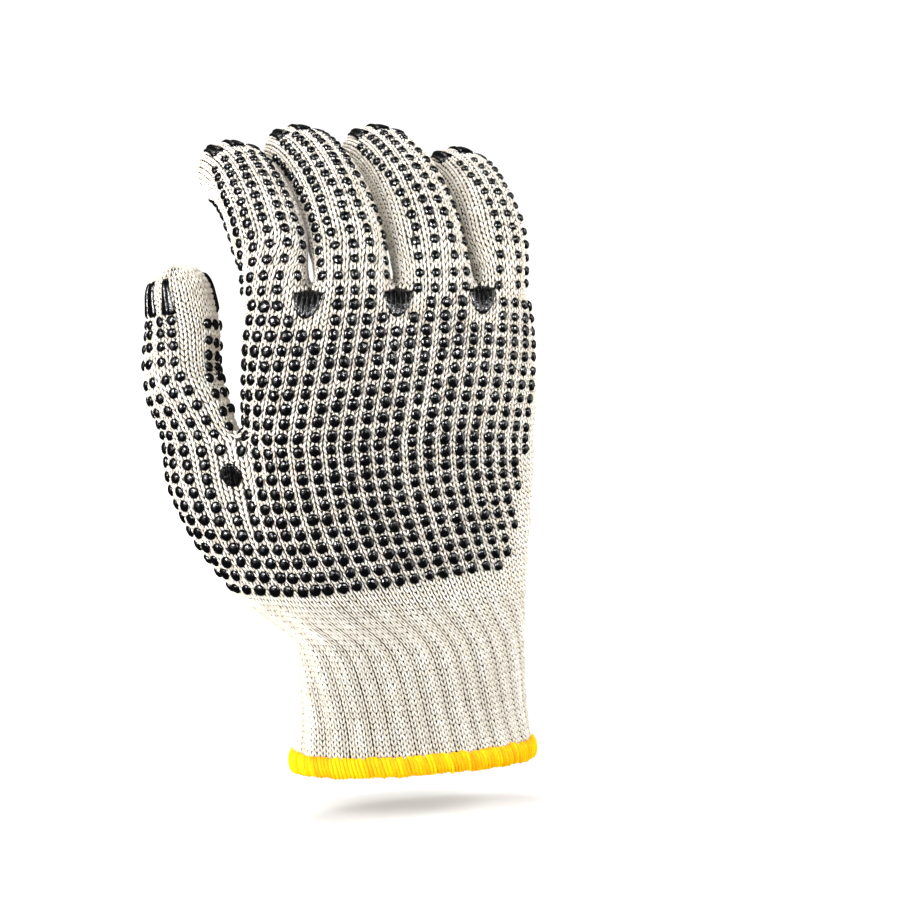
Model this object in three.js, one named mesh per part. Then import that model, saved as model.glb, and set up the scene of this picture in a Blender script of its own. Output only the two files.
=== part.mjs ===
// Knitted cotton work glove for a right hand, printed with raised grip marks.
// Millimetres, +Z from the wrist to the fingers, back of the hand towards -Y, thumb at -X.
// The origin is the middle of the wrist opening, level with the hem's lower edge.
import * as THREE from "three";

// Lengths of the hand, measured from the hem's lower edge
const PALM_LENGTH = 157;
const THUMB_FORK = 109;
const CUFF_LENGTH = 57;
const HEM_HEIGHT = 7.5;

// Sections of the hand and the digits
const HAND_WIDTH = 101;
const HAND_DEPTH = 38;
const FINGER_WIDTH = 0.2525 * HAND_WIDTH;
const FINGER_DEPTH = 23;
const THUMB_WIDTH = 24.5;

// Lengths of the digits, each from its fork along the middle line
const INDEX_LENGTH = 70;
const MIDDLE_LENGTH = 79;
const RING_LENGTH = 79;
const LITTLE_LENGTH = 67;
const THUMB_LENGTH = 56.5;

// Cloth, hem and print
const CLOTH = 1.8;
const SEAM = 0.3;
const COURSE = 1.85;
const RIB_DEPTH = 0.7;
const HEM_SWELL = 1.3;
const HEM_THICKNESS = 4;
const TIP_ROUNDING = 10;
const FORK_RELIEF = 0.55;
const SIDE_RELIEF = 0.2;
const BAR_LIFT = 0.5;
const PATCH_LIFT = 0.65;
const PRINT_THICKNESS = 0.6;

// Knitted columns of each panel, counted once round
const FINGER_COLUMNS = 12;
const LITTLE_COLUMNS = 10;
const STRIP_COLUMNS = 4;
const HAND_COLUMNS = 3 * FINGER_COLUMNS + LITTLE_COLUMNS;
const THUMB_COLUMNS = 12;
const STEP = 2;

// How far a column is stretched on the back, along the side strips and on the palm
const BACK_STRETCH = 1.1;
const STRIP_STRETCH = 0.85;
const PALM_STRETCH = 0.9;

// Share of the ring by which the back's columns lean to the thumb side at the finger forks
const BACK_TURN = 0.0186;

// Hand: level as a share of PALM_LENGTH, left and right edge as shares of HAND_WIDTH,
// middle and depth as shares of HAND_DEPTH, squareness of the section
const HAND_ROWS = [
  { level: 0, left: -0.431, right: 0.431, middle: 0, depth: 1.158, square: 2.2 },
  { level: 0.051, left: -0.411, right: 0.411, middle: 0, depth: 1.105, square: 2.2 },
  { level: 0.127, left: -0.396, right: 0.394, middle: 0, depth: 1.053, square: 2.2 },
  { level: 0.248, left: -0.401, right: 0.391, middle: 0, depth: 1.026, square: 2.3 },
  { level: 0.363, left: -0.455, right: 0.391, middle: 0, depth: 1, square: 2.4 },
  { level: 0.522, left: -0.525, right: 0.406, middle: 0, depth: 1, square: 2.5 },
  { level: 0.694, left: -0.569, right: 0.421, middle: 0, depth: 1, square: 2.5 },
  { level: 0.847, left: -0.579, right: 0.426, middle: 0.013, depth: 0.947, square: 2.6 },
  { level: 1, left: -0.579, right: 0.421, middle: 0.092, depth: 0.816, square: 2.7 },
];

// Thumb: at is a share of THUMB_FORK below the fork and of THUMB_LENGTH above it,
// across is a share of HAND_WIDTH, forward of HAND_DEPTH, width and depth of THUMB_WIDTH
const THUMB_ROWS = [
  { at: -0.752, across: -0.198, forward: 0.053, width: 0.898, depth: 0.98, turn: 10 },
  { at: -0.606, across: -0.287, forward: 0.105, width: 0.98, depth: 1.061, turn: 15 },
  { at: -0.477, across: -0.421, forward: 0.237, width: 1.102, depth: 1.224, turn: 22 },
  { at: -0.294, across: -0.54, forward: 0.421, width: 1.265, depth: 1.306, turn: 34 },
  { at: -0.138, across: -0.614, forward: 0.526, width: 1.224, depth: 1.224, turn: 44 },
  { at: 0, across: -0.649, forward: 0.605, width: 1.143, depth: 1.102, turn: 54 },
  { at: 0.354, across: -0.693, forward: 0.737, width: 1, depth: 0.98, turn: 70 },
  { at: 0.637, across: -0.678, forward: 0.816, width: 0.98, depth: 0.939, turn: 80 },
  { at: 0.814, across: -0.683, forward: 0.855, width: 0.878, depth: 0.857, turn: 82 },
  { at: 1, across: -0.698, forward: 0.895, width: 0.796, depth: 0.776, turn: 82 },
];

// Fingers: width and depth as shares of FINGER_WIDTH and FINGER_DEPTH, slopes in degrees,
// bars by the columns they are centred on
const FINGERS = [
  { name: "index", columns: FINGER_COLUMNS, length: INDEX_LENGTH, width: 0.965, depth: 0.978,
    lean: 12, bend: 98, splay: -1.6, bars: [3, 6, 9] },
  { name: "middle", columns: FINGER_COLUMNS, length: MIDDLE_LENGTH, width: 1, depth: 1,
    lean: 12, bend: 98, splay: -1, bars: [3, 6, 9] },
  { name: "ring", columns: FINGER_COLUMNS, length: RING_LENGTH, width: 1, depth: 1,
    lean: 12, bend: 98, splay: -0.5, bars: [3, 6, 9] },
  { name: "little", columns: LITTLE_COLUMNS, length: LITTLE_LENGTH, width: 0.882, depth: 0.891,
    lean: 12, bend: 98, splay: 3.5, bars: [2, 5, 8] },
];
const FINGER_TAPER = 0.1;

// Hem section: height as a share of HEM_HEIGHT, out as a share of HEM_THICKNESS
const HEM_SECTION = [
  { height: 0.14, out: 0 },
  { height: 0, out: 0.3 },
  { height: 0, out: 0.7 },
  { height: 0.14, out: 1 },
  { height: 0.86, out: 1 },
  { height: 1, out: 0.7 },
  { height: 1, out: 0.3 },
  { height: 0.86, out: 0 },
];

// Fork patch, a half moon: down in courses below the fork, half the width in columns
const PATCH_ROWS = [
  { down: 4.6, half: 0.4 },
  { down: 3.9, half: 1 },
  { down: 2.8, half: 1.4 },
  { down: 2, half: 1.55 },
  { down: 1.4, half: 1.55 },
];
const THUMB_PATCH_DROP = 3.5;

// Fingertip bar: courses back from the tip, half the width in columns
const BAR_ROWS = [
  { back: 9, half: 0.9 },
  { back: 6, half: 0.85 },
  { back: 4, half: 0.75 },
  { back: 2.5, half: 0.6 },
];

const CREAM = { color: "#e9dfca", roughness: 0.95, metalness: 0 };
const CUFF_CREAM = { color: "#ebe6da", roughness: 0.95, metalness: 0 };
const YELLOW = { color: "#f6c40a", roughness: 0.85, metalness: 0 };
const GRIP_BLACK = { color: "#171717", roughness: 0.3, metalness: 0 };

const UP = new THREE.Vector3(0, 0, 1);
const vec = (x, y, z) => new THREE.Vector3(x, y, z);
const radians = (degrees) => (degrees * Math.PI) / 180;
const fade = (t) => THREE.MathUtils.smoothstep(t, 0, 1);
const total = (list) => list.reduce((sum, value) => sum + value, 0);
const repeat = (value, count) => new Array(count).fill(value);

// Smooth value of one column of a table at a place along it
function along(rows, key, at, column) {
  const place = THREE.MathUtils.clamp(at, rows[0][key], rows[rows.length - 1][key]);
  let i = rows.findIndex((row) => row[key] >= place) - 1;
  i = THREE.MathUtils.clamp(i, 0, rows.length - 2);
  const slope = (k) => {
    const a = rows[Math.max(k - 1, 0)];
    const b = rows[Math.min(k + 1, rows.length - 1)];
    return (b[column] - a[column]) / (b[key] - a[key]);
  };
  const span = rows[i + 1][key] - rows[i][key];
  const t = (place - rows[i][key]) / span;
  const t2 = t * t;
  const t3 = t2 * t;
  const start = (2 * t3 - 3 * t2 + 1) * rows[i][column] + (t3 - 2 * t2 + t) * span * slope(i);
  const end = (3 * t2 - 2 * t3) * rows[i + 1][column] + (t3 - t2) * span * slope(i + 1);
  return start + end;
}

// Closed rounded outline, from -x over -y and back over +y
function outline(halfWidth, halfDepth, square) {
  const points = [];
  const samples = 360;
  for (let i = 0; i <= samples; i += 1) {
    const turn = (i / samples) * 2 * Math.PI;
    const c = -Math.cos(turn);
    const s = -Math.sin(turn);
    const x = halfWidth * Math.sign(c) * Math.abs(c) ** (2 / square);
    const y = halfDepth * Math.sign(s) * Math.abs(s) ** (2 / square);
    points.push([x, y]);
  }
  return points;
}

// Points along a closed outline, spaced by the columns' stretch
function spaceColumns(points, stretch, start) {
  const length = [0];
  for (let i = 1; i < points.length; i += 1) {
    const dx = points[i][0] - points[i - 1][0];
    const dy = points[i][1] - points[i - 1][1];
    length.push(length[i - 1] + Math.hypot(dx, dy));
  }
  const whole = length[length.length - 1];
  const all = total(stretch);
  const out = [];
  let run = 0;
  for (const width of stretch) {
    const share = run / all + start;
    const at = (share - Math.floor(share)) * whole;
    run += width;
    let i = length.findIndex((value) => value > at) - 1;
    if (i < 0) i = points.length - 2;
    const t = (at - length[i]) / Math.max(length[i + 1] - length[i], 1e-9);
    const x = points[i][0] + (points[i + 1][0] - points[i][0]) * t;
    const y = points[i][1] + (points[i + 1][1] - points[i][1]) * t;
    out.push([x, y]);
  }
  return out;
}

// Stretch of each column round a tube with a back, a far strip, a palm and a near strip
function tubeStretch(columns) {
  return [
    ...repeat(BACK_STRETCH, columns),
    ...repeat(STRIP_STRETCH, STRIP_COLUMNS),
    ...repeat(PALM_STRETCH, columns),
    ...repeat(STRIP_STRETCH, STRIP_COLUMNS),
  ];
}

// Section of a tube whose back is centred on -y, or turned from there by a share of the ring
function tubeSection(columns, width, depth, square, turned = 0) {
  const stretch = tubeStretch(columns);
  const start = 0.25 - turned - (columns * BACK_STRETCH) / 2 / total(stretch);
  return spaceColumns(outline(width / 2, depth / 2, square), stretch, start);
}

function handSize(z) {
  const at = z / PALM_LENGTH;
  const left = HAND_WIDTH * along(HAND_ROWS, "level", at, "left");
  const right = HAND_WIDTH * along(HAND_ROWS, "level", at, "right");
  const middle = HAND_DEPTH * along(HAND_ROWS, "level", at, "middle");
  const depth = HAND_DEPTH * along(HAND_ROWS, "level", at, "depth");
  const square = along(HAND_ROWS, "level", at, "square");
  return { left, right, middle, depth, square };
}

function palmRing(z) {
  const hand = handSize(z);
  const turned = BACK_TURN * fade((z - THUMB_FORK) / (PALM_LENGTH - THUMB_FORK));
  const width = hand.right - hand.left;
  const section = tubeSection(HAND_COLUMNS, width, hand.depth, hand.square, turned);
  const centre = (hand.left + hand.right) / 2;
  return section.map(([x, y]) => vec(x + centre, y + hand.middle, z));
}

function thumbSize(z) {
  const above = (z - THUMB_FORK) / THUMB_LENGTH;
  const at = z < THUMB_FORK ? z / THUMB_FORK - 1 : above;
  const across = HAND_WIDTH * along(THUMB_ROWS, "at", at, "across");
  const forward = HAND_DEPTH * along(THUMB_ROWS, "at", at, "forward");
  const width = THUMB_WIDTH * along(THUMB_ROWS, "at", at, "width");
  const depth = THUMB_WIDTH * along(THUMB_ROWS, "at", at, "depth");
  const turn = radians(along(THUMB_ROWS, "at", at, "turn"));
  return { centre: vec(across, forward, z), width, depth, turn };
}

// Section of the thumb; scale closes it at the tip
function thumbRing(z, wide, deep, level) {
  const size = thumbSize(z);
  const top = THUMB_FORK + THUMB_LENGTH;
  const ahead = thumbSize(Math.min(z + 1, top)).centre;
  const behind = thumbSize(Math.min(z, top - 1) - 1).centre;
  const tangent = level ? UP.clone() : ahead.sub(behind).normalize();
  const across = vec(Math.cos(size.turn), -Math.sin(size.turn), 0);
  across.addScaledVector(tangent, -across.dot(tangent)).normalize();
  const inward = tangent.clone().cross(across);
  const section = tubeSection(THUMB_COLUMNS, size.width * wide, size.depth * deep, 2.2);
  return section.map(([x, y]) => (
    size.centre.clone().addScaledVector(across, x).addScaledVector(inward, y)
  ));
}

// Convex outline round a set of points, counter-clockwise from the leftmost
function wrapAround(points) {
  const sorted = points.slice().sort((a, b) => a[0] - b[0] || a[1] - b[1]);
  const half = (list) => {
    const kept = [];
    for (const p of list) {
      while (kept.length > 1) {
        const a = kept[kept.length - 2];
        const b = kept[kept.length - 1];
        const turn = (b[0] - a[0]) * (p[1] - a[1]) - (b[1] - a[1]) * (p[0] - a[0]);
        if (turn > 1e-9) break;
        kept.pop();
      }
      kept.push(p);
    }
    return kept.slice(0, -1);
  };
  const ring = [...half(sorted), ...half(sorted.slice().reverse())];
  return [...ring, ring[0]];
}

// Columns round the whole hand: thumb back, hand back, strip, hand palm, thumb palm, strip
const WHOLE_STRETCH = [
  ...repeat(BACK_STRETCH, THUMB_COLUMNS + HAND_COLUMNS),
  ...repeat(STRIP_STRETCH, STRIP_COLUMNS),
  ...repeat(PALM_STRETCH, HAND_COLUMNS + THUMB_COLUMNS),
  ...repeat(STRIP_STRETCH, STRIP_COLUMNS),
];

// Section below the thumb's fork, the cloth drawn tight round the palm and the thumb's root
function wholeRing(z) {
  const hand = handSize(z);
  const centre = (hand.left + hand.right) / 2;
  const palm = outline((hand.right - hand.left) / 2, hand.depth / 2, hand.square);
  const root = thumbSize(Math.max(z, THUMB_FORK * (1 + THUMB_ROWS[0].at)));
  const c = Math.cos(root.turn);
  const s = Math.sin(root.turn);
  const thumb = outline(root.width / 2, root.depth / 2, 2.2);
  const points = wrapAround([
    ...palm.map(([x, y]) => [x + centre, y + hand.middle]),
    ...thumb.map(([x, y]) => [root.centre.x + x * c + y * s, root.centre.y - x * s + y * c]),
  ]);
  let run = 0;
  let right = 0;
  let furthest = -Infinity;
  for (let i = 1; i < points.length; i += 1) {
    run += Math.hypot(points[i][0] - points[i - 1][0], points[i][1] - points[i - 1][1]);
    if (points[i][0] > furthest) {
      furthest = points[i][0];
      right = run;
    }
  }
  const before = total(WHOLE_STRETCH.slice(0, THUMB_COLUMNS + HAND_COLUMNS));
  const middle = (before + (STRIP_COLUMNS * STRIP_STRETCH) / 2) / total(WHOLE_STRETCH);
  const start = (right + HAND_DEPTH * 0.158) / run - middle;
  return spaceColumns(points, WHOLE_STRETCH, start).map(([x, y]) => vec(x, y, z));
}

// Share of the section left near a closed tip
function tipScale(left) {
  const q = 1 - Math.max(left, 0) / TIP_ROUNDING;
  return left >= TIP_ROUNDING ? 1 : Math.sqrt(Math.max(1 - q ** 2.2, 0));
}

// The outer surface of the glove as one net of knitted columns and courses
class Skin {
  constructor() {
    this.points = [];
    this.tubes = {};
  }

  add(point) {
    this.points.push(point);
    return this.points.length - 1;
  }

  addRow(points) {
    return points.map((point) => this.add(point));
  }

  at(row) {
    return row.map((index) => this.points[index]);
  }
}

const UPPER_COUNT = 2 * HAND_COLUMNS + 2 * STRIP_COLUMNS;
const PALM_FORK_COLUMN = THUMB_COLUMNS + 2 * HAND_COLUMNS + STRIP_COLUMNS;

// From the cuff's top to the thumb's fork
function weaveLower(skin) {
  const palm = palmRing(THUMB_FORK);
  const thumb = thumbRing(THUMB_FORK, 1, 1, true);
  const last = thumb.slice(THUMB_COLUMNS + STRIP_COLUMNS);
  const fork = [
    ...thumb.slice(0, THUMB_COLUMNS),
    ...palm.slice(0, UPPER_COUNT - STRIP_COLUMNS),
    ...last,
  ];
  fork[THUMB_COLUMNS] = palm[0].clone().add(thumb[THUMB_COLUMNS]).multiplyScalar(0.5);
  const palmCorner = palm[UPPER_COUNT - STRIP_COLUMNS];
  fork[PALM_FORK_COLUMN] = palmCorner.clone().add(last[0]).multiplyScalar(0.5);
  const whole = wholeRing(THUMB_FORK);
  const shift = fork.map((point, i) => point.clone().sub(whole[i]));
  const count = Math.round((THUMB_FORK - CUFF_LENGTH) / COURSE);
  const rows = [];
  for (let r = 0; r <= count; r += 1) {
    const z = CUFF_LENGTH + ((THUMB_FORK - CUFF_LENGTH) * r) / count;
    const reach = 0.79 * (THUMB_FORK - CUFF_LENGTH);
    const share = fade((z - THUMB_FORK + reach) / reach) ** 1.3;
    const ring = wholeRing(z).map((point, i) => point.addScaledVector(shift[i], share));
    rows.push(skin.addRow(ring));
  }
  skin.tubes.lower = rows;
  return { palm, thumb };
}

// The short bridge of cloth between the thumb and the hand, from the palm to the back
function weaveThumbBridge(skin, sections) {
  const top = skin.tubes.lower[skin.tubes.lower.length - 1];
  const back = skin.points[top[THUMB_COLUMNS]];
  const front = skin.points[top[PALM_FORK_COLUMN]];
  const bridge = [];
  for (let k = 1; k < STRIP_COLUMNS; k += 1) {
    const t = k / STRIP_COLUMNS;
    const hand = sections.palm[UPPER_COUNT - STRIP_COLUMNS + k];
    const thumb = sections.thumb[THUMB_COLUMNS + STRIP_COLUMNS - k];
    const between = hand.clone().add(thumb).multiplyScalar(0.5);
    const point = front.clone().lerp(back, t).add(between).multiplyScalar(0.5);
    point.z = THUMB_FORK + Math.sin(Math.PI * t);
    bridge.push(skin.add(point));
  }
  return bridge;
}

// From the thumb's fork to the finger forks
function weaveUpper(skin, bridge) {
  const top = skin.tubes.lower[skin.tubes.lower.length - 1];
  const rows = [[...top.slice(THUMB_COLUMNS, PALM_FORK_COLUMN + 1), ...bridge]];
  const base = palmRing(THUMB_FORK);
  const shift = skin.at(rows[0]).map((point, i) => point.clone().sub(base[i]));
  const height = PALM_LENGTH - THUMB_FORK;
  const count = Math.round(height / COURSE);
  for (let r = 1; r <= count; r += 1) {
    const rise = (height * r) / count;
    const share = 1 - fade(rise / (0.46 * height));
    const ring = palmRing(THUMB_FORK + rise);
    rows.push(skin.addRow(ring.map((point, i) => point.addScaledVector(shift[i], share))));
  }
  skin.tubes.upper = rows;
}

function weaveThumb(skin, bridge) {
  const top = skin.tubes.lower[skin.tubes.lower.length - 1];
  const inner = bridge.slice().reverse();
  const rows = [[...top.slice(0, THUMB_COLUMNS + 1), ...inner, ...top.slice(PALM_FORK_COLUMN)]];
  const base = thumbRing(THUMB_FORK, 1, 1, false);
  const shift = skin.at(rows[0]).map((point, i) => point.clone().sub(base[i]));
  const count = Math.round((THUMB_LENGTH * 1.03) / COURSE);
  for (let r = 1; r <= count; r += 1) {
    const rise = (THUMB_LENGTH * r) / count;
    const share = 1 - fade(rise / (0.32 * THUMB_LENGTH));
    const k = tipScale(THUMB_LENGTH - rise);
    const ring = thumbRing(THUMB_FORK + rise, Math.max(k, 0.1), Math.max(k, 0.06), false);
    rows.push(skin.addRow(ring.map((point, i) => point.addScaledVector(shift[i], share))));
  }
  skin.tubes.thumb = rows;
}

// Middle line of a finger: it leaves the hand nearly straight and curls towards the palm
function fingerFrames(finger, root, count) {
  const side = radians(finger.splay);
  const across = vec(Math.cos(side), 0, -Math.sin(side));
  const frames = [];
  const centre = root.clone();
  for (let r = 0; r <= count; r += 1) {
    const curl = radians(finger.lean + ((finger.bend - finger.lean) * r) / count);
    const rise = Math.cos(curl);
    const tangent = vec(Math.sin(side) * rise, Math.sin(curl), Math.cos(side) * rise);
    tangent.normalize();
    const inward = tangent.clone().cross(across);
    frames.push({ centre: centre.clone(), across, inward, tangent });
    centre.addScaledVector(tangent, finger.length / count);
  }
  return frames;
}

function fingerRing(finger, frame, travelled) {
  const share = travelled / finger.length;
  const taper = 1 - FINGER_TAPER * share ** 1.5;
  const k = tipScale(finger.length - travelled);
  const width = FINGER_WIDTH * finger.width * taper * Math.max(k, 0.12);
  const depth = FINGER_DEPTH * finger.depth * taper * Math.max(k, 0.06);
  return tubeSection(finger.columns, width, depth, 2.2).map(([x, y]) => (
    frame.centre.clone().addScaledVector(frame.across, x).addScaledVector(frame.inward, y)
  ));
}

// Bridge of cloth between two fingers, from the back to the palm
function weaveFingerBridge(skin, backEnd, palmStart) {
  const back = skin.points[backEnd];
  const palm = skin.points[palmStart];
  const bridge = [];
  for (let k = 1; k < STRIP_COLUMNS; k += 1) {
    const t = k / STRIP_COLUMNS;
    const point = back.clone().lerp(palm, t);
    point.z += 1.5 * Math.sin(Math.PI * t);
    bridge.push(skin.add(point));
  }
  return bridge;
}

function weaveFinger(skin, finger, firstRow) {
  const n = finger.columns;
  const root = skin.at(firstRow);
  const corners = [0, n, n + STRIP_COLUMNS, 2 * n + STRIP_COLUMNS];
  const centre = vec(0, 0, 0);
  corners.forEach((i) => centre.addScaledVector(root[i], 0.25));
  const count = Math.round(finger.length / COURSE);
  const frames = fingerFrames(finger, centre, count);
  const local = root.map((point) => {
    const from = point.clone().sub(centre);
    return [from.dot(frames[0].across), from.dot(frames[0].inward), from.dot(frames[0].tangent)];
  });
  const rows = [firstRow];
  for (let r = 1; r <= count; r += 1) {
    const frame = frames[r];
    const travelled = (finger.length * r) / count;
    const share = fade(travelled / (0.64 * FINGER_WIDTH));
    const ring = fingerRing(finger, frame, travelled).map((point, i) => {
      const start = frame.centre.clone().addScaledVector(frame.across, local[i][0]);
      start.addScaledVector(frame.inward, local[i][1]);
      start.addScaledVector(frame.tangent, local[i][2]);
      return start.lerp(point, share);
    });
    rows.push(skin.addRow(ring));
  }
  skin.tubes[finger.name] = rows;
}

function weaveFingers(skin) {
  const top = skin.tubes.upper[skin.tubes.upper.length - 1];
  const palmEnd = 2 * HAND_COLUMNS + STRIP_COLUMNS;
  let start = 0;
  let near = top.slice(palmEnd + 1);
  for (const finger of FINGERS) {
    const n = finger.columns;
    const back = top.slice(start, start + n + 1);
    const palm = top.slice(palmEnd - start - n, palmEnd - start + 1);
    const outer = top.slice(HAND_COLUMNS + 1, HAND_COLUMNS + STRIP_COLUMNS);
    const last = finger === FINGERS[FINGERS.length - 1];
    const far = last ? outer : weaveFingerBridge(skin, back[n], palm[0]);
    weaveFinger(skin, finger, [...back, ...far, ...palm, ...near]);
    near = far.slice().reverse();
    start += n;
  }
}

// Ease the cloth where tubes meet
function easeForks(skin) {
  const digits = ["thumb", ...FINGERS.map((finger) => finger.name)];
  const forks = digits.flatMap((name) => skin.at(skin.tubes[name][0]));
  const keys = new Set();
  const size = skin.points.length;
  const join = (a, b) => keys.add(Math.min(a, b) * size + Math.max(a, b));
  for (const rows of Object.values(skin.tubes)) {
    rows.forEach((row, r) => {
      row.forEach((index, c) => {
        join(index, row[(c + 1) % row.length]);
        if (r + 1 < rows.length) join(index, rows[r + 1][c]);
      });
    });
  }
  const links = [...keys].map((key) => [Math.floor(key / size), key % size]);
  const reach = 0.36 * FINGER_WIDTH;
  const ease = skin.points.map((point) => {
    const nearest = Math.min(...forks.map((fork) => fork.distanceToSquared(point)));
    return 0.5 * Math.exp(-nearest / reach ** 2);
  });
  for (let pass = 0; pass < 24; pass += 1) {
    const sums = skin.points.map(() => vec(0, 0, 0));
    const counts = repeat(0, size);
    for (const [a, b] of links) {
      sums[a].add(skin.points[b]);
      sums[b].add(skin.points[a]);
      counts[a] += 1;
      counts[b] += 1;
    }
    skin.points.forEach((point, i) => point.lerp(sums[i].divideScalar(counts[i]), ease[i]));
  }
}

function weaveSkin() {
  const skin = new Skin();
  const sections = weaveLower(skin);
  const bridge = weaveThumbBridge(skin, sections);
  weaveUpper(skin, bridge);
  weaveThumb(skin, bridge);
  weaveFingers(skin);
  easeForks(skin);
  return skin;
}

// Net of one tube: its points and outward normals
function tubeNet(skin, name) {
  const points = skin.tubes[name].map((row) => skin.at(row));
  const count = points[0].length;
  const normals = points.map((row) => row.map(() => vec(0, 0, 0)));
  for (let r = 0; r + 1 < points.length; r += 1) {
    for (let c = 0; c < count; c += 1) {
      const d = (c + 1) % count;
      const one = points[r + 1][d].clone().sub(points[r][c]);
      const two = points[r + 1][c].clone().sub(points[r][d]);
      const face = one.cross(two);
      [normals[r][c], normals[r][d], normals[r + 1][c], normals[r + 1][d]].forEach((n) => n.add(face));
    }
  }
  normals.flat().forEach((normal) => normal.normalize());
  return { points, normals };
}

// Point, and outward normal, on the facets of the cloth tube cut from a net
function onCloth(net, rows, row, column) {
  const count = net.points[0].length;
  const k = rows.findIndex((value, i) => i + 2 === rows.length || rows[i + 1] > row);
  const down = (row - rows[k]) / (rows[k + 1] - rows[k]);
  const c = Math.floor(column / STEP) * STEP;
  const over = (column - c) / STEP;
  const pick = (list) => {
    const near = list[rows[k]][c % count].clone().lerp(list[rows[k]][(c + STEP) % count], over);
    const next = list[rows[k + 1]];
    return near.lerp(next[c % count].clone().lerp(next[(c + STEP) % count], over), down);
  };
  return { point: pick(net.points), normal: pick(net.normals).normalize() };
}

// Columns between two places on a ring, the short way round
function ringDistance(a, b, count) {
  const apart = Math.abs(a - b) % count;
  return Math.min(apart, count - apart);
}

// Solid between an outer and an inner stack of rings; a tip closes the upper end
function ringSolid(outer, inner, outerTip, innerTip) {
  const rows = outer.length;
  const count = outer[0].length;
  const points = [...outer.flat(), ...inner.flat()];
  const faces = [];
  const quad = (a, b, c, d) => faces.push(a, b, c, a, c, d);
  const out = (r, c) => r * count + (c % count);
  const into = (r, c) => rows * count + r * count + (c % count);
  for (let c = 0; c < count; c += 1) {
    for (let r = 0; r + 1 < rows; r += 1) {
      quad(out(r, c), out(r, c + 1), out(r + 1, c + 1), out(r + 1, c));
      quad(into(r, c), into(r + 1, c), into(r + 1, c + 1), into(r, c + 1));
    }
    quad(out(0, c), into(0, c), into(0, c + 1), out(0, c + 1));
    const r = rows - 1;
    if (outerTip) {
      faces.push(out(r, c), out(r, c + 1), points.length);
      faces.push(into(r, c + 1), into(r, c), points.length + 1);
    } else {
      quad(out(r, c), out(r, c + 1), into(r, c + 1), into(r, c));
    }
  }
  if (outerTip) points.push(outerTip, innerTip);
  return solidGeometry(points, faces);
}

function solidGeometry(points, faces) {
  const geometry = new THREE.BufferGeometry();
  const flat = points.flatMap((point) => [point.x, point.y, point.z]);
  geometry.setAttribute("position", new THREE.Float32BufferAttribute(flat, 3));
  geometry.setIndex(faces);
  geometry.computeVertexNormals();
  return geometry;
}

// Thick cloth tube from some courses of a net; both open ends stand back half a seam,
// further beside the columns in forks, and crowded gives way towards a neighbour
function clothTube(net, rows, closed, forks, crowded) {
  const count = net.points[0].length;
  const outer = [];
  const inner = [];
  const last = rows[rows.length - 1];
  const tip = vec(0, 0, 0);
  net.points[last].forEach((point) => tip.addScaledVector(point, 1 / count));
  const before = vec(0, 0, 0);
  net.points[last - 1].forEach((point) => before.addScaledVector(point, 1 / count));
  const axis = tip.clone().sub(before).normalize();
  rows.forEach((r, k) => {
    const ring = [];
    const lining = [];
    for (let c = 0; c < count; c += STEP) {
      const point = net.points[r][c].clone();
      const normal = net.normals[r][c].clone();
      const edge = k === 0 || (r === last && !closed);
      if (edge) {
        const beside = net.points[k === 0 ? r + 1 : r - 1][c].clone().sub(point);
        beside.normalize();
        normal.addScaledVector(beside, -normal.dot(beside)).normalize();
        const corners = k === 0 ? forks.below : forks.above;
        const away = Math.min(...corners.map((corner) => ringDistance(corner, c, count)));
        point.addScaledVector(beside, SEAM / 2 + FORK_RELIEF * (1 - fade(away / 5)));
      }
      if (r === last && closed) normal.multiplyScalar(0.3).add(axis).normalize();
      point.addScaledVector(normal, -crowded(r, c));
      ring.push(point);
      lining.push(point.clone().addScaledVector(normal, -CLOTH));
    }
    outer.push(ring);
    inner.push(lining);
  });
  if (!closed) return ringSolid(outer, inner);
  const middle = (list) => {
    const centre = vec(0, 0, 0);
    list.forEach((point) => centre.addScaledVector(point, 1 / list.length));
    return centre;
  };
  const outerTip = middle(outer[outer.length - 1]).addScaledVector(axis, 0.2);
  return ringSolid(outer, inner, outerTip, middle(inner[inner.length - 1]));
}

function part(name, geometry, look) {
  const mesh = new THREE.Mesh(geometry, new THREE.MeshStandardMaterial(look));
  mesh.name = name;
  return mesh;
}

// Every few courses, with the last one always kept
function everyFew(count, few) {
  const rows = [];
  for (let r = 0; r < count; r += few) rows.push(r);
  if (count - rows[rows.length - 1] < few / 2) rows.pop();
  return [...rows, count];
}

// Courses kept for each tube: even along it, closer together round a closed tip
function keptRows(name, net) {
  const top = net.points.length - 1;
  if (name === "lower" || name === "upper") return everyFew(top, 4);
  return [...everyFew(top - 6, 5), top - 4, top - 2, top - 1, top];
}

function lowerHand(nets) {
  const forks = { below: [], above: [THUMB_COLUMNS, PALM_FORK_COLUMN] };
  const geometry = clothTube(nets.lower, nets.lower.rows, false, forks, () => 0);
  return part("lower_hand", geometry, CREAM);
}

// The strip beside the thumb gives way a little so that the two tubes stay apart
function upperHand(nets) {
  const first = UPPER_COUNT - STRIP_COLUMNS;
  const crowded = (r, c) => (c > first ? SIDE_RELIEF * (1 - fade(r / 6)) : 0);
  const above = [];
  for (let k = 1; k < FINGERS.length; k += 1) {
    above.push(k * FINGER_COLUMNS, first - k * FINGER_COLUMNS);
  }
  const forks = { below: [0, first], above };
  const geometry = clothTube(nets.upper, nets.upper.rows, false, forks, crowded);
  return part("upper_hand", geometry, CREAM);
}

function thumb(nets) {
  const end = THUMB_COLUMNS + STRIP_COLUMNS;
  const facing = (c) => c > THUMB_COLUMNS && c < end;
  const crowded = (r, c) => (facing(c) ? SIDE_RELIEF * (1 - fade(r / 6)) : 0);
  const forks = { below: [THUMB_COLUMNS, end], above: [] };
  return part("thumb", clothTube(nets.thumb, nets.thumb.rows, true, forks, crowded), CREAM);
}

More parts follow.
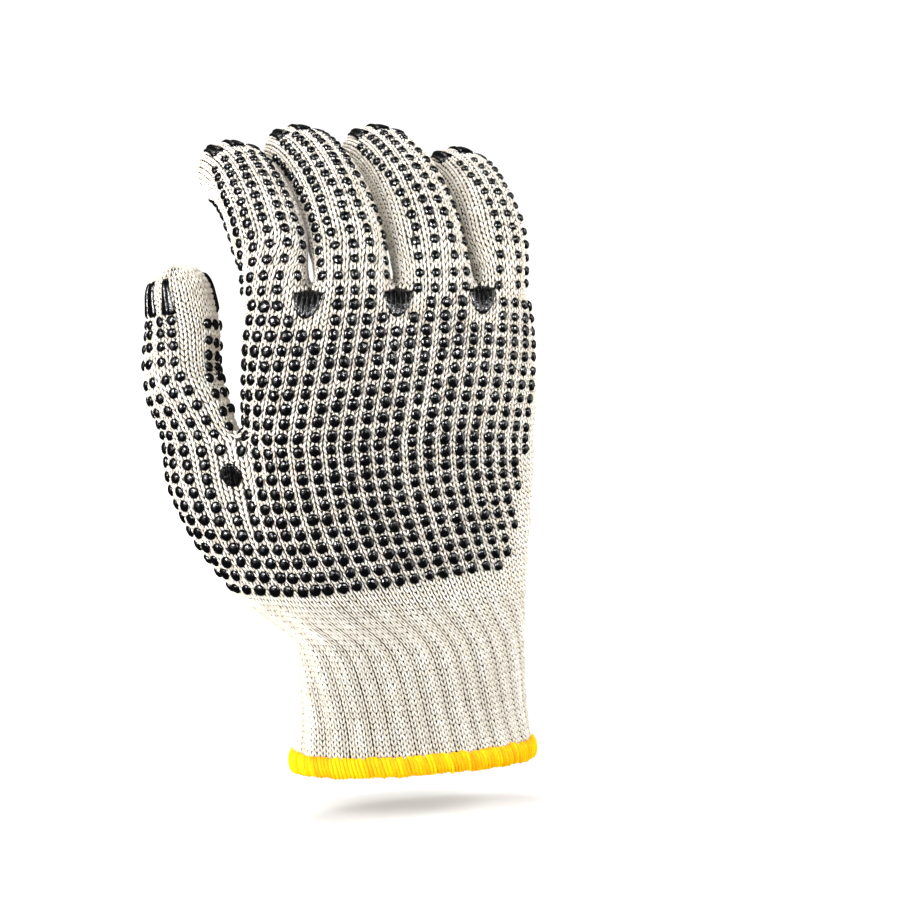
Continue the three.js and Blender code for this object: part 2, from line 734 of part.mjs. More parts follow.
// Strips that face another finger give way a little near the fork
function finger(nets, place) {
  const row = FINGERS[place];
  const n = row.columns;
  const farStrip = (c) => c >= n && c <= n + STRIP_COLUMNS && place < FINGERS.length - 1;
  const nearStrip = (c) => (c >= 2 * n + STRIP_COLUMNS || c === 0) && place > 0;
  const crowded = (r, c) => (farStrip(c) || nearStrip(c) ? SIDE_RELIEF * (1 - fade(r / 12)) : 0);
  const far = place < FINGERS.length - 1 ? [n, n + STRIP_COLUMNS] : [];
  const near = place > 0 ? [2 * n + STRIP_COLUMNS, 0] : [];
  const net = nets[row.name];
  const forks = { below: [...far, ...near], above: [] };
  return part(`${row.name}_finger`, clothTube(net, net.rows, true, forks, crowded), CREAM);
}

// Outward direction in the level plane at each point of a level ring
function levelNormals(ring) {
  return ring.map((point, i) => {
    const ahead = ring[(i + 1) % ring.length];
    const behind = ring[(i + ring.length - 1) % ring.length];
    return ahead.clone().sub(behind).cross(UP).normalize();
  });
}

// Ribbed cuff, drawn in by elastic between the hem and the hand
function cuff() {
  const bottom = HEM_HEIGHT + SEAM;
  const top = CUFF_LENGTH - SEAM / 2;
  const shares = [0, 0.15, 0.4, 0.65, 0.86, 1];
  const outer = [];
  const inner = [];
  shares.forEach((share) => {
    const ring = wholeRing(bottom + (top - bottom) * share);
    const kept = ring.filter((point, i) => i % STEP === 0);
    const normals = levelNormals(kept);
    const rib = share < 1 ? (RIB_DEPTH / 2) * fade((1 - share) / 0.3) : 0;
    const face = kept.map((point, i) => (
      point.clone().addScaledVector(normals[i], i % 2 === 0 ? 0 : -2 * rib)
    ));
    outer.push(face);
    inner.push(face.map((point, i) => point.clone().addScaledVector(normals[i], -CLOTH)));
  });
  return part("cuff", ringSolid(outer, inner), CUFF_CREAM);
}

// Bound hem: a thick ring of overlocked yarn round the wrist opening
function hem() {
  const rings = HEM_SECTION.map((row) => {
    const ring = wholeRing(HEM_HEIGHT * row.height).filter((point, i) => i % STEP === 0);
    const normals = levelNormals(ring);
    const out = HEM_SWELL + HEM_THICKNESS * (row.out - 1);
    return ring.map((point, i) => point.clone().addScaledVector(normals[i], out));
  });
  const count = rings[0].length;
  const faces = [];
  rings.forEach((ring, r) => {
    const next = (r + 1) % rings.length;
    for (let c = 0; c < count; c += 1) {
      const d = (c + 1) % count;
      const a = r * count;
      const b = next * count;
      faces.push(a + c, a + d, b + d, a + c, b + d, b + c);
    }
  });
  return part("hem", solidGeometry(rings.flat(), faces), YELLOW);
}

// Thin pad of print lying on a net; each row of the table is one line across it
function pad(net, lines, column, cells, lift) {
  const lower = [];
  const upper = [];
  for (const line of lines) {
    for (let i = 0; i <= cells; i += 1) {
      const place = column + line.half * ((2 * i) / cells - 1);
      const { point, normal } = onCloth(net, net.rows, line.row, place);
      lower.push(point.clone().addScaledVector(normal, lift));
      upper.push(point.clone().addScaledVector(normal, lift + PRINT_THICKNESS));
    }
  }
  const wide = cells + 1;
  const rows = lines.length;
  const base = wide * rows;
  const faces = [];
  const quad = (a, b, c, d) => faces.push(a, b, c, a, c, d);
  for (let r = 0; r + 1 < rows; r += 1) {
    for (let c = 0; c < cells; c += 1) {
      const a = r * wide + c;
      quad(base + a, base + a + 1, base + a + wide + 1, base + a + wide);
      quad(a, a + wide, a + wide + 1, a + 1);
    }
    const left = r * wide;
    const right = left + cells;
    quad(left, base + left, base + left + wide, left + wide);
    quad(right, right + wide, base + right + wide, base + right);
  }
  for (let c = 0; c < cells; c += 1) {
    const end = (rows - 1) * wide + c;
    quad(c, c + 1, base + c + 1, base + c);
    quad(end, base + end, base + end + 1, end + 1);
  }
  return solidGeometry([...lower, ...upper], faces);
}

// Half-moon patches that reinforce the forks, on the back and on the palm
function forkPatches(nets) {
  const meshes = [];
  const patch = (name, net, column, drop) => {
    const top = net.points.length - 1;
    const lines = PATCH_ROWS.map((row) => ({ row: top - drop - row.down, half: row.half }));
    meshes.push(part(name, pad(net, lines, column, 4, PATCH_LIFT), GRIP_BLACK));
  };
  const palmEnd = 2 * HAND_COLUMNS + STRIP_COLUMNS;
  for (let k = 1; k < FINGERS.length; k += 1) {
    const name = FINGERS[k - 1].name;
    patch(`${name}_fork_patch_back`, nets.upper, k * FINGER_COLUMNS, 0);
    patch(`${name}_fork_patch_palm`, nets.upper, palmEnd - k * FINGER_COLUMNS, 0);
  }
  patch("thumb_fork_patch_back", nets.lower, THUMB_COLUMNS, THUMB_PATCH_DROP);
  patch("thumb_fork_patch_palm", nets.lower, PALM_FORK_COLUMN, THUMB_PATCH_DROP);
  return meshes;
}

// Three bars on each side of every tip
function tipBars(nets) {
  const meshes = [];
  const digits = [...FINGERS, { name: "thumb", columns: THUMB_COLUMNS, bars: [3, 6, 9] }];
  for (const digit of digits) {
    const net = nets[digit.name];
    const top = net.points.length - 1;
    const lines = BAR_ROWS.map((row) => ({ row: top - row.back, half: row.half }));
    digit.bars.forEach((back, i) => {
      const palm = digit.columns + STRIP_COLUMNS + back;
      const stem = `${digit.name}_tip_bar`;
      const onBack = pad(net, lines, back, 2, BAR_LIFT);
      const onPalm = pad(net, lines, palm, 2, BAR_LIFT);
      meshes.push(part(`${stem}_back_${i + 1}`, onBack, GRIP_BLACK));
      meshes.push(part(`${stem}_palm_${i + 1}`, onPalm, GRIP_BLACK));
    });
  }
  return meshes;
}

function buildGlove() {
  const skin = weaveSkin();
  const nets = {};
  for (const name of Object.keys(skin.tubes)) {
    nets[name] = tubeNet(skin, name);
    nets[name].rows = keptRows(name, nets[name]);
  }
  const glove = new THREE.Group();
  glove.name = "work_glove";
  glove.add(hem(), cuff(), lowerHand(nets), upperHand(nets), thumb(nets));
  FINGERS.forEach((row, place) => glove.add(finger(nets, place)));
  glove.add(...forkPatches(nets), ...tipBars(nets));
  return glove;
}

export default buildGlove();
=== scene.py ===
"""Knitted cotton work glove with printed grip marks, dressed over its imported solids.

Lengths are worked out in millimetres and turned into metres when a mesh is made.
The frame is the solids' own: +Z from the wrist to the fingers, back of the hand towards -Y,
thumb at -X, origin in the wrist opening, level with the hem's lower edge.
"""
import math

import bpy
import numpy as np
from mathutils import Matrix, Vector


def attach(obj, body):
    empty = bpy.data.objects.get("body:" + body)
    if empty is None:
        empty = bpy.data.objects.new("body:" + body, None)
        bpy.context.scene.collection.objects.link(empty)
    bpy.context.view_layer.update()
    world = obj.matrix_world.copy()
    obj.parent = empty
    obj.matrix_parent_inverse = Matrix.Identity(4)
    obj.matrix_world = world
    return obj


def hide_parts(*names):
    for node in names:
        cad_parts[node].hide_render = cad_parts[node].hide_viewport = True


MM = 0.001
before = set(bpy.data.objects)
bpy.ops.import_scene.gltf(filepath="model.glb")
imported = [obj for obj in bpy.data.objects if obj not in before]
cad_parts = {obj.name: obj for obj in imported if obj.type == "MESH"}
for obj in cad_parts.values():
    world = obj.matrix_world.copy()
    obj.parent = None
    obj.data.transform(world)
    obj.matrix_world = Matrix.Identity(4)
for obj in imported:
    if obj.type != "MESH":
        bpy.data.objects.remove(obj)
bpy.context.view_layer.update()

# Levels of the hem, the cuff, the thumb's fork and the finger forks
HEM_HEIGHT = 7.5
CUFF_TOP = 57.0
THUMB_FORK = 109.0
FINGER_FORK = 157.0
THUMB_LENGTH = 56.5

# Knit: wales of each panel, height of a course, widths of a wale against each other
FINGER_WALES = 12
LITTLE_WALES = 10
STRIP = 4
HAND_WALES = 3 * FINGER_WALES + LITTLE_WALES
THUMB_WALES = 12
COURSE = 1.85
BACK_WIDTH, STRIP_WIDTH, PALM_WIDTH = 1.1, 0.85, 0.9

# Wales round the hand from the thumb's side: end of the palm, all; below the thumb's fork, from
# the thumb's own side: the fork on the palm, all. The ring above starts SLIDE wales earlier
PALM_END = 2 * HAND_WALES + STRIP
RING = PALM_END + STRIP
PALM_FORK = THUMB_WALES + PALM_END
WHOLE = RING + 2 * THUMB_WALES
SLIDE = 6

# Cloth: its thickness, how deep its ground lies under the loops, its lowest edge in the hem
CLOTH = 1.8
GROUND_DEPTH = 0.5
CLOTH_RIM = 3.0

# Digits: squareness of their sections and tips, length over which a tip closes
ROUND = 2.2
TIP_LENGTH = 10.0

# Points of a rounded outline; length over which an edge of an outline is averaged
OUTLINE_POINTS = 721
EDGE_SOFTNESS = 3.0

# Loops: radius of their yarn as a share of a wale, their depth, the least cell that holds one
YARN = 0.195
CUFF_YARN = 0.215
LOOP_DEPTH = 1.75
LEAST_CELL = 0.35

# Cuff: wales between its grooves, depth in and beside a groove, height where they begin to
# fade and over which they do
GROOVE_STEPS = [3, 4, 4, 3, 4, 3, 4, 4, 3, 4]
GROOVE_DEPTHS = (1.0, 0.4)
GROOVE_FADE = (40.0, 26.0)

# Hem: points and sides of its core, half thickness and half height, how far in and up it lies
HEM_POINTS = 240
HEM_SIDES = 16
HEM_CORE = (1.1, 2.9)
HEM_INSET = 1.05
HEM_RISE = 0.3

# Turns of yarn round the hem: distance, half thickness, half height, radius of the yarn, slant
WRAP_PITCH = 1.25
WRAP_HALF = (1.35, 3.1)
WRAP_YARN = 0.68
WRAP_SLANT = -0.3

# Hand: level, left, right, middle, depth, squareness
HAND = [
    (0.0, -43.5, 43.5, 0.0, 44.0, 2.2),
    (8.0, -41.5, 41.5, 0.0, 42.0, 2.2),
    (20.0, -40.0, 39.8, 0.0, 40.0, 2.2),
    (39.0, -41.2, 39.5, 0.0, 39.0, 2.3),
    (48.0, -45.3, 39.4, 0.0, 38.5, 2.35),
    (CUFF_TOP, -50.0, 39.5, 0.0, 38.0, 2.4),
    (82.0, -53.0, 41.0, 0.0, 38.0, 2.5),
    (THUMB_FORK, -57.5, 42.5, 0.0, 38.0, 2.5),
    (133.0, -58.5, 43.0, 0.5, 36.0, 2.6),
    (FINGER_FORK, -58.5, 42.5, 3.5, 31.0, 2.7),
]

# Thumb: level, across, forward, width, depth, turn in degrees
THUMB = [
    (27.0, -20.0, 2.0, 22.0, 24.0, 10.0),
    (43.0, -29.0, 4.0, 24.0, 26.0, 15.0),
    (CUFF_TOP, -42.5, 9.0, 27.0, 30.0, 22.0),
    (77.0, -54.5, 16.0, 31.0, 32.0, 34.0),
    (94.0, -62.0, 20.0, 30.0, 30.0, 44.0),
    (THUMB_FORK, -65.5, 23.0, 28.0, 27.0, 54.0),
    (129.0, -70.0, 28.0, 24.5, 24.0, 70.0),
    (145.0, -68.5, 31.0, 24.0, 23.0, 80.0),
    (155.0, -69.0, 32.5, 21.5, 21.0, 82.0),
    (THUMB_FORK + THUMB_LENGTH, -70.5, 34.0, 19.5, 19.0, 82.0),
]

# Fingers: name, wales, length, width, depth, splay in degrees, wales that carry a tip bar
FINGERS = [
    ("index", FINGER_WALES, 70.0, 24.6, 22.5, -1.6, (3, 6, 9)),
    ("middle", FINGER_WALES, 79.0, 25.5, 23.0, -1.0, (3, 6, 9)),
    ("ring", FINGER_WALES, 79.0, 25.5, 23.0, -0.5, (3, 6, 9)),
    ("little", LITTLE_WALES, 67.0, 22.5, 20.5, 3.5, (2, 5, 8)),
]

FINGER_NAMES = [row[0] for row in FINGERS]
DIGITS = ["thumb", *FINGER_NAMES]
THUMB_BARS = (3, 6, 9)

# Curl of a finger at its root and how much further it turns, in degrees; how much it narrows
ROOT_CURL, FURTHER_CURL = 12.0, 86.0
FINGER_TAPER = 0.1

# Share by which the thumb's line is longer than its height
THUMB_RUN = 1.03

# Wales of the hand between the forks: share by which they have turned round it at the finger
# forks, and the soft and the steady part of their lean towards the thumb
TOP_TURN = 0.0186
SOFT_LEAN, STEADY_LEAN = 4.5, 11.6

# Least width and depth of a ring at a closed tip, as shares
THUMB_TIP = (0.1, 0.06)
FINGER_TIP = (0.12, 0.06)

# How far the shape of a fork reaches: share of the hand below it and above it, of the thumb,
# and length of a finger; rise of the cloth between two fingers
REACH_BELOW, REACH_ABOVE, REACH_THUMB = 0.79, 0.46, 0.32
REACH_FINGER = 16.3
WEB_RISE = 1.5

# Easing of the cloth at the forks: strength, reach and rounds
EASE, EASE_REACH, EASE_ROUNDS = 0.5, 9.18, 24

# Below the thumb's fork: level, wale at the thumb edge, wale at the little-finger edge
FOLDS = [
    (0.0, -4.2, 46.2),
    (20.0, -2.2, 48.2),
    (40.0, 0.3, 50.2),
    (CUFF_TOP, 2.5, 52.2),
    (70.0, 2.6, 53.4),
    (81.0, 2.0, 55.0),
    (92.0, 1.6, 56.6),
    (100.0, 1.5, 57.4),
    (THUMB_FORK, 1.5, 57.5),
]

# Printed rows of the hand: numbers, level of row 0, distance of the rows below it and above it
ROWS = range(-11, 10)
ROW_LEVEL = 110.85
ROW_STEPS = (4.45, 4.74)

# Climb of those rows in courses, by number, and between which wales they climb; from which wale
# on they drop again, how much for each wale, and over how many rows up to row 0 the drop grows
CLIMB = [(-11, 3.0), (-7, 2.6), (-1, 2.2), (3, 1.8), (5, 1.6), (7, 0.9), (9, 0.2)]
CLIMB_WALES = [(8, 0), (34, 1)]
DROP_WALE, DROP, DROP_ROWS = 36.0, 0.16, 4

# Printed columns of the hand: first one on the back and on the palm, every second wale from
# there; wales that they stand further on
BACK_FIRST, PALM_FIRST = -4, -16
COLUMNS = [(-6, 0.4), (6, 0.4), (12, -0.1), (26, 0.2), (31, 0.8), (44, 1.4)]

# Last wale that is printed at the little-finger side, by level, on the back and on the palm
BACK_EDGE = [(66, 37.8), (72, 39.8), (80, 41.6), (92, 43.6), (104, 45.6), (FINGER_FORK, 46.0)]
PALM_EDGE = [(60, 41.5), (100, 44.0), (125, 45.6)]

# Last wale of the thumb's print on the palm, by level; first wale of the palm's print, and of the
# back's above the thumb's fork
THUMB_EDGE = [(64, -14.0), (90, -5.0), (THUMB_FORK, -3.6)]
PALM_START, BACK_START = 4.6, 4.0

# Printed digits: distance of the rows, first row, palm mirror, then wales of the columns by row
TRACKS = {
    "thumb": (2.25, 1.2, 25.3, [
        (0, 3.0, 4.8, 6.9, 8.8, 10.5), (8, 2.2, 4.2, 6.2, 8.2, 10.1),
        (13, 1.3, 3.3, 5.3, 7.4, 9.2), (24, 1.6, 3.6, 5.5, 7.6, 9.2),
    ]),
    "index": (2.1, 0.4, 28.0, [
        (0, 0.4, 3.3, 5.6, 7.8, 10.6), (5, -0.1, 2.8, 5.1, 7.4, 10.2),
        (10, 0.0, 2.0, 4.0, 6.3, 8.3), (20, 0.2, 2.2, 4.2, 6.1, 8.0),
        (27, 1.2, 3.0, 4.8, 6.6, 8.4),
    ]),
    "middle": (2.1, 0.35, 26.6, [
        (0, 1.4, 3.9, 6.0, 8.4, 10.8), (5, 1.0, 3.4, 5.6, 7.8, 10.5),
        (10, 0.8, 2.6, 4.8, 7.2, 10.2), (15, 0.7, 2.6, 4.8, 6.7, 9.4),
        (20, 0.3, 2.4, 4.2, 6.4, 8.3), (27, -0.2, 2.1, 4.0, 6.2, 8.4),
    ]),
    "ring": (2.22, 0.4, 28.0, [
        (0, 2.5, 5.0, 7.3, 9.5), (5, 3.0, 5.2, 7.8, 10.2), (10, 3.4, 5.6, 7.7, 10.6),
        (16, 2.8, 4.8, 6.8, 9.3), (22, 2.0, 3.8, 5.8, 8.3), (28, 1.4, 3.3, 5.1, 7.2),
    ]),
    "little": (2.1, 0.5, 24.0, [
        (0, 2.4, 6.0, 8.6), (4, 3.2, 6.2, 8.6), (8, 4.2, 6.2, 8.4),
        (15, 3.8, 5.5, 7.5), (19, 3.0, 5.0, 7.0), (24, 2.6, 4.8, 7.0),
    ]),
}

# Radius of the dots of the hand and of the digits, and their height
HAND_DOT = 1.94
DIGIT_DOT = 1.68
DOT_HEIGHT = 0.95

# Dots get smaller to the little-finger side, from a place over a width, and to the tips,
# from a share of a finger over a share of it; each with how much smaller they get
LITTLE_SIDE = (8.0, 26.0, 0.16)
TIP_SIDE = (0.35, 0.35, 0.13)

# Palm of the digits: courses that it starts later, and how much further apart than on the back
# its rows and columns are; courses without dots at a tip
PALM_LATER = 0.6
FINGER_PALM = (1.42, 1.0)
THUMB_PALM = (1.08, 1.2)
BARE_TIP = 11.5

# Growth of the distance of the thumb's rows from each to the next
THUMB_STRETCH = 0.008

# Cloth without dots round the fork patches: courses up, wales aside, radius
FINGER_PATCH_ROOM = ((-2.2, 0.0, 6.0), (0.3, 0.0, 5.0))
THUMB_PATCH_ROOM = {
    "thumb_fork_patch_back": ((-2.4, 0.0, 6.4), (3.0, 2.0, 2.6)),
    "thumb_fork_patch_palm": ((-2.4, 0.0, 6.4), (3.0, 0.0, 7.6)),
}

# Fork patches: courses down to foot and top, half width in wales; height, strands for a wale and
# faces across; courses that the thumb's lie below its fork
FINGER_PATCH = (4.0, 0.0, 1.9)
THUMB_PATCH = (4.6, 0.4, 1.0)
PATCH_HEIGHT, PATCH_STRANDS, PATCH_CELLS = 1.05, 1.45, 36
THUMB_PATCH_DROP = 3.0

# Tip bars: courses from the tip down to foot and top; height, strands for a wale, faces across
BAR_FOOT, BAR_TOP = 9.2, 2.3
BAR_HEIGHT, BAR_STRANDS, BAR_CELLS = 0.95, 0.9, 10

# Camera: turn and height in degrees, distance, middle of the glove, how far right of it it aims
AZIMUTH, ELEVATION = -24.0, 6.0
DISTANCE = 1100.0
GLOVE_MIDDLE = (0.0, 8.0, 104.0)
AIM_RIGHT = 15.18
LENS, SENSOR = 133.33, 36.0

# Studio: level of the floor and its reach; strength of the sky as mirrored, as light, as seen
FLOOR_LEVEL, FLOOR_REACH = -14.0, 3000.0
SKY_MIRRORED, SKY_LIGHT, SKY_SEEN = 0.06, 0.32, 1.1


def fade(t):
    """Smooth step from 0 to 1."""
    t = np.clip(t, 0.0, 1.0)
    return t * t * (3.0 - 2.0 * t)


def unit(vectors):
    """Rows of vectors brought to length one."""
    return vectors / np.linalg.norm(vectors, axis=-1, keepdims=True)


def along(rows, at, column):
    """Smooth value of one column of a table at a place along it."""
    keys = [row[0] for row in rows]
    values = [row[column] for row in rows]
    slopes = []
    for i in range(len(rows)):
        a, b = max(i - 1, 0), min(i + 1, len(rows) - 1)
        slopes.append((values[b] - values[a]) / (keys[b] - keys[a]))
    at = min(max(at, keys[0]), keys[-1])
    i = min(max(int(np.searchsorted(keys, at)) - 1, 0), len(rows) - 2)
    span = keys[i + 1] - keys[i]
    t = (at - keys[i]) / span
    low = (2 * t**3 - 3 * t**2 + 1) * values[i] + (t**3 - 2 * t**2 + t) * span * slopes[i]
    return low + (3 * t**2 - 2 * t**3) * values[i + 1] + (t**3 - t**2) * span * slopes[i + 1]


def outline(half_width, half_depth, square):
    """Closed rounded outline, from -x over -y and back over +y."""
    turn = np.linspace(0.0, 2.0 * np.pi, OUTLINE_POINTS)
    c, s = -np.cos(turn), -np.sin(turn)
    x = half_width * np.sign(c) * np.abs(c) ** (2.0 / square)
    y = half_depth * np.sign(s) * np.abs(s) ** (2.0 / square)
    return np.stack([x, y], 1)


def run_of(points):
    """Length of a line up to each of its points."""
    steps = np.hypot(*np.diff(points, axis=0).T)
    return np.concatenate([[0.0], np.cumsum(steps)])


def at_shares(points, shares):
    """Points of a closed outline at shares of its length."""
    run = run_of(points)
    place = np.mod(shares, 1.0) * run[-1]
    return np.stack([np.interp(place, run, points[:, 0]), np.interp(place, run, points[:, 1])], 1)


def tube_section(wales, width, depth, square, turned=0.0, slid=0.0):
    """Section of a tube whose back is centred on -y; slid moves the wales round it."""
    widths = [BACK_WIDTH] * wales + [STRIP_WIDTH] * STRIP
    widths += [PALM_WIDTH] * wales + [STRIP_WIDTH] * STRIP
    run = np.concatenate([[0.0], np.cumsum(widths)])
    count = len(widths)
    first = 0.25 - turned - wales * BACK_WIDTH / 2 / run[-1]
    places = np.interp(np.mod(np.arange(count) - slid, count), np.arange(count + 1), run)
    return at_shares(outline(width / 2, depth / 2, square), first + places / run[-1])


def palm_ring(z, slid=0.0):
    """Level section of the hand without the thumb."""
    left, right, middle, depth, square = (along(HAND, z, c) for c in range(1, 6))
    turned = TOP_TURN * fade((z - THUMB_FORK) / (FINGER_FORK - THUMB_FORK))
    section = tube_section(HAND_WALES, right - left, depth, square, turned, slid)
    flat = section + [(left + right) / 2, middle]
    return np.column_stack([flat, np.full(len(flat), z)])


def thumb_ring(z, wide, deep, level):
    """Section of the thumb at a height, level or square to its line, narrowed at the tip."""
    top = THUMB_FORK + THUMB_LENGTH
    across, forward, width, depth, turn = (along(THUMB, z, c) for c in range(1, 6))
    turn = math.radians(turn)
    tangent = np.array([0.0, 0.0, 1.0])
    if not level:
        a, b = min(z + 1, top), min(z, top - 1) - 1
        ends = [np.array([along(THUMB, v, 1), along(THUMB, v, 2), v]) for v in (a, b)]
        tangent = (ends[0] - ends[1]) / np.linalg.norm(ends[0] - ends[1])
    side = np.array([math.cos(turn), -math.sin(turn), 0.0])
    side -= tangent * (side @ tangent)
    side /= np.linalg.norm(side)
    inward = np.cross(tangent, side)
    section = tube_section(THUMB_WALES, width * wide, depth * deep, ROUND)
    return np.array([across, forward, z]) + section[:, :1] * side + section[:, 1:] * inward


def wrap_around(points):
    """Convex outline round points, counter-clockwise from the leftmost."""
    order = points[np.lexsort((points[:, 1], points[:, 0]))]

    def half(rows):
        kept = []
        for p in rows:
            while len(kept) > 1:
                a, b = kept[-2], kept[-1]
                if (b[0] - a[0]) * (p[1] - a[1]) - (b[1] - a[1]) * (p[0] - a[0]) > 1e-9:
                    break
                kept.pop()
            kept.append(p)
        return kept[:-1]

    ring = half(order) + half(order[::-1])
    return np.array(ring + [ring[0]])


def whole_outline(z):
    """Outline round the hand and the root of the thumb."""
    left, right, middle, depth, square = (along(HAND, z, c) for c in range(1, 6))
    palm = outline((right - left) / 2, depth / 2, square) + [(left + right) / 2, middle]
    z = max(z, THUMB[0][0])
    across, forward, width, depth, turn = (along(THUMB, z, c) for c in range(1, 6))
    c, s = math.cos(math.radians(turn)), math.sin(math.radians(turn))
    root = outline(width / 2, depth / 2, ROUND)
    thumb = np.stack([root[:, 0] * c + root[:, 1] * s, root[:, 1] * c - root[:, 0] * s], 1)
    return wrap_around(np.concatenate([palm, thumb + [across, forward]]))


def edge_share(points, run, side):
    """Share of an outline at its outermost stretch on one side, from -0.5 to 0.5 or 0 to 1."""
    shares = (run[1:] + run[:-1]) / 2 / run[-1]
    reach = (points[1:, 0] + points[:-1, 0]) / 2 * side
    if side < 0:
        shares = np.mod(shares + 0.5, 1.0) - 0.5
    weights = np.diff(run) * np.exp((reach - reach.max()) / EDGE_SOFTNESS)
    return float((shares * weights).sum() / weights.sum())


def whole_ring(z):
    """Section below the thumb's fork, its wales set by those at its two edges."""
    points = whole_outline(z)
    run = run_of(points)
    start, edge = edge_share(points, run, -1.0), edge_share(points, run, 1.0)
    near, far = along(FOLDS, z, 1), along(FOLDS, z, 2)
    wales = np.mod(np.arange(WHOLE) - near, WHOLE) + near
    shares = np.interp(wales, [near, far, near + WHOLE], [start, edge, start + 1.0])
    flat = at_shares(points, shares)
    return np.column_stack([flat, np.full(WHOLE, z)])


def slide_at(z):
    """Wales by which the back still leans towards the thumb between the forks."""
    t = (z - THUMB_FORK) / (FINGER_FORK - THUMB_FORK)
    lean = SOFT_LEAN + STEADY_LEAN * (1 - t) * (1 + 0.25 * t) - SOFT_LEAN * float(fade(t))
    return SLIDE * lean / (SOFT_LEAN + STEADY_LEAN)


def tip_scale(left):
    """Share of the full width with some length left to the tip."""
    if left >= TIP_LENGTH:
        return 1.0
    q = 1.0 - max(left, 0.0) / TIP_LENGTH
    return math.sqrt(max(1.0 - q**ROUND, 0.0))


class Skin:
    """The outer surface of the glove as one net of wales and courses."""

    def __init__(self):
        self.points = []
        self.tubes = {}

    def add_row(self, points):
        first = len(self.points)
        self.points.extend(np.asarray(points, float))
        return np.arange(first, first + len(points))

    def at(self, row):
        return np.array([self.points[i] for i in row])


def weave_lower(skin):
    """Tube from the wrist to the thumb's fork, where it meets the two tubes above it."""
    palm = palm_ring(THUMB_FORK)
    thumb = thumb_ring(THUMB_FORK, 1, 1, True)
    fork = np.concatenate([
        thumb[:THUMB_WALES], palm[:PALM_END], thumb[THUMB_WALES + STRIP:],
    ])
    fork[THUMB_WALES] = (palm[0] + thumb[THUMB_WALES]) / 2
    fork[PALM_FORK] = (palm[PALM_END] + thumb[THUMB_WALES + STRIP]) / 2
    shift = fork - whole_ring(THUMB_FORK)
    count = round(THUMB_FORK / COURSE)
    reach = REACH_BELOW * (THUMB_FORK - CUFF_TOP)
    rows = []
    for r in range(count + 1):
        z = THUMB_FORK * r / count
        share = fade((z - THUMB_FORK + reach) / reach) ** 1.3
        rows.append(skin.add_row(whole_ring(z) + shift * share))
    skin.tubes["lower"] = np.array(rows)
    return palm, thumb


def weave_bridge(skin, palm, thumb):
    """Points across the thumb's fork from the palm to the back."""
    top = skin.tubes["lower"][-1]
    back, front = skin.points[top[THUMB_WALES]], skin.points[top[PALM_FORK]]
    bridge = []
    for k in range(1, STRIP):
        t = k / STRIP
        between = (palm[PALM_END + k] + thumb[THUMB_WALES + STRIP - k]) / 2
        point = (front * (1 - t) + back * t + between) / 2
        point[2] = THUMB_FORK + math.sin(math.pi * t)
        bridge.append(point)
    return skin.add_row(bridge)


def weave_upper(skin, bridge):
    """Tube of the hand from the thumb's fork to the finger forks."""
    top = skin.tubes["lower"][-1]
    first = np.roll(np.concatenate([top[THUMB_WALES:PALM_FORK + 1], bridge]), SLIDE)
    shift = skin.at(first) - palm_ring(THUMB_FORK, SLIDE)
    height = FINGER_FORK - THUMB_FORK
    count = round(height / COURSE)
    rows = [first]
    for r in range(1, count + 1):
        rise = height * r / count
        z = THUMB_FORK + rise
        ring = palm_ring(z, slide_at(z)) + shift * (1 - fade(rise / (REACH_ABOVE * height)))
        rows.append(skin.add_row(ring))
    skin.tubes["upper"] = np.array(rows)


def weave_thumb(skin, bridge):
    """Tube of the thumb."""
    top = skin.tubes["lower"][-1]
    first = np.concatenate([top[:THUMB_WALES + 1], bridge[::-1], top[PALM_FORK:]])
    shift = skin.at(first) - thumb_ring(THUMB_FORK, 1, 1, False)
    count = round(THUMB_LENGTH * THUMB_RUN / COURSE)
    rows = [first]
    for r in range(1, count + 1):
        rise = THUMB_LENGTH * r / count
        k = tip_scale(THUMB_LENGTH - rise)
        wide, deep = (max(k, least) for least in THUMB_TIP)
        ring = thumb_ring(THUMB_FORK + rise, wide, deep, False)
        ring += shift * (1 - fade(rise / (REACH_THUMB * THUMB_LENGTH)))
        rows.append(skin.add_row(ring))
    skin.tubes["thumb"] = np.array(rows)


def weave_finger(skin, row, first):
    """Curled tube of one finger on its first ring."""
    name, n, length, width, depth, splay, _ = row
    root = skin.at(first)
    centre = root[[0, n, n + STRIP, 2 * n + STRIP]].mean(0)
    count = round(length / COURSE)
    side = math.radians(splay)
    across = np.array([math.cos(side), 0.0, -math.sin(side)])
    local = None
    rows = [first]
    for r in range(count + 1):
        curl = math.radians(ROOT_CURL + FURTHER_CURL * r / count)
        rise = math.cos(curl)
        tangent = np.array([math.sin(side) * rise, math.sin(curl), math.cos(side) * rise])
        tangent /= np.linalg.norm(tangent)
        inward = np.cross(tangent, across)
        axes = np.array([across, inward, tangent])
        if local is None:
            local = (root - centre) @ axes.T
        else:
            travelled = length * r / count
            taper = 1 - FINGER_TAPER * (travelled / length) ** 1.5
            k = tip_scale(length - travelled)
            wide, deep = (size * taper * max(k, least)
                          for size, least in zip((width, depth), FINGER_TIP))
            section = tube_section(n, wide, deep, ROUND)
            round_ring = centre + section[:, :1] * across + section[:, 1:] * inward
            share = fade(travelled / REACH_FINGER)
            ring = (centre + local @ axes) * (1 - share) + round_ring * share
            rows.append(skin.add_row(ring))
        centre = centre + tangent * (length / count)
    skin.tubes[name] = np.array(rows)


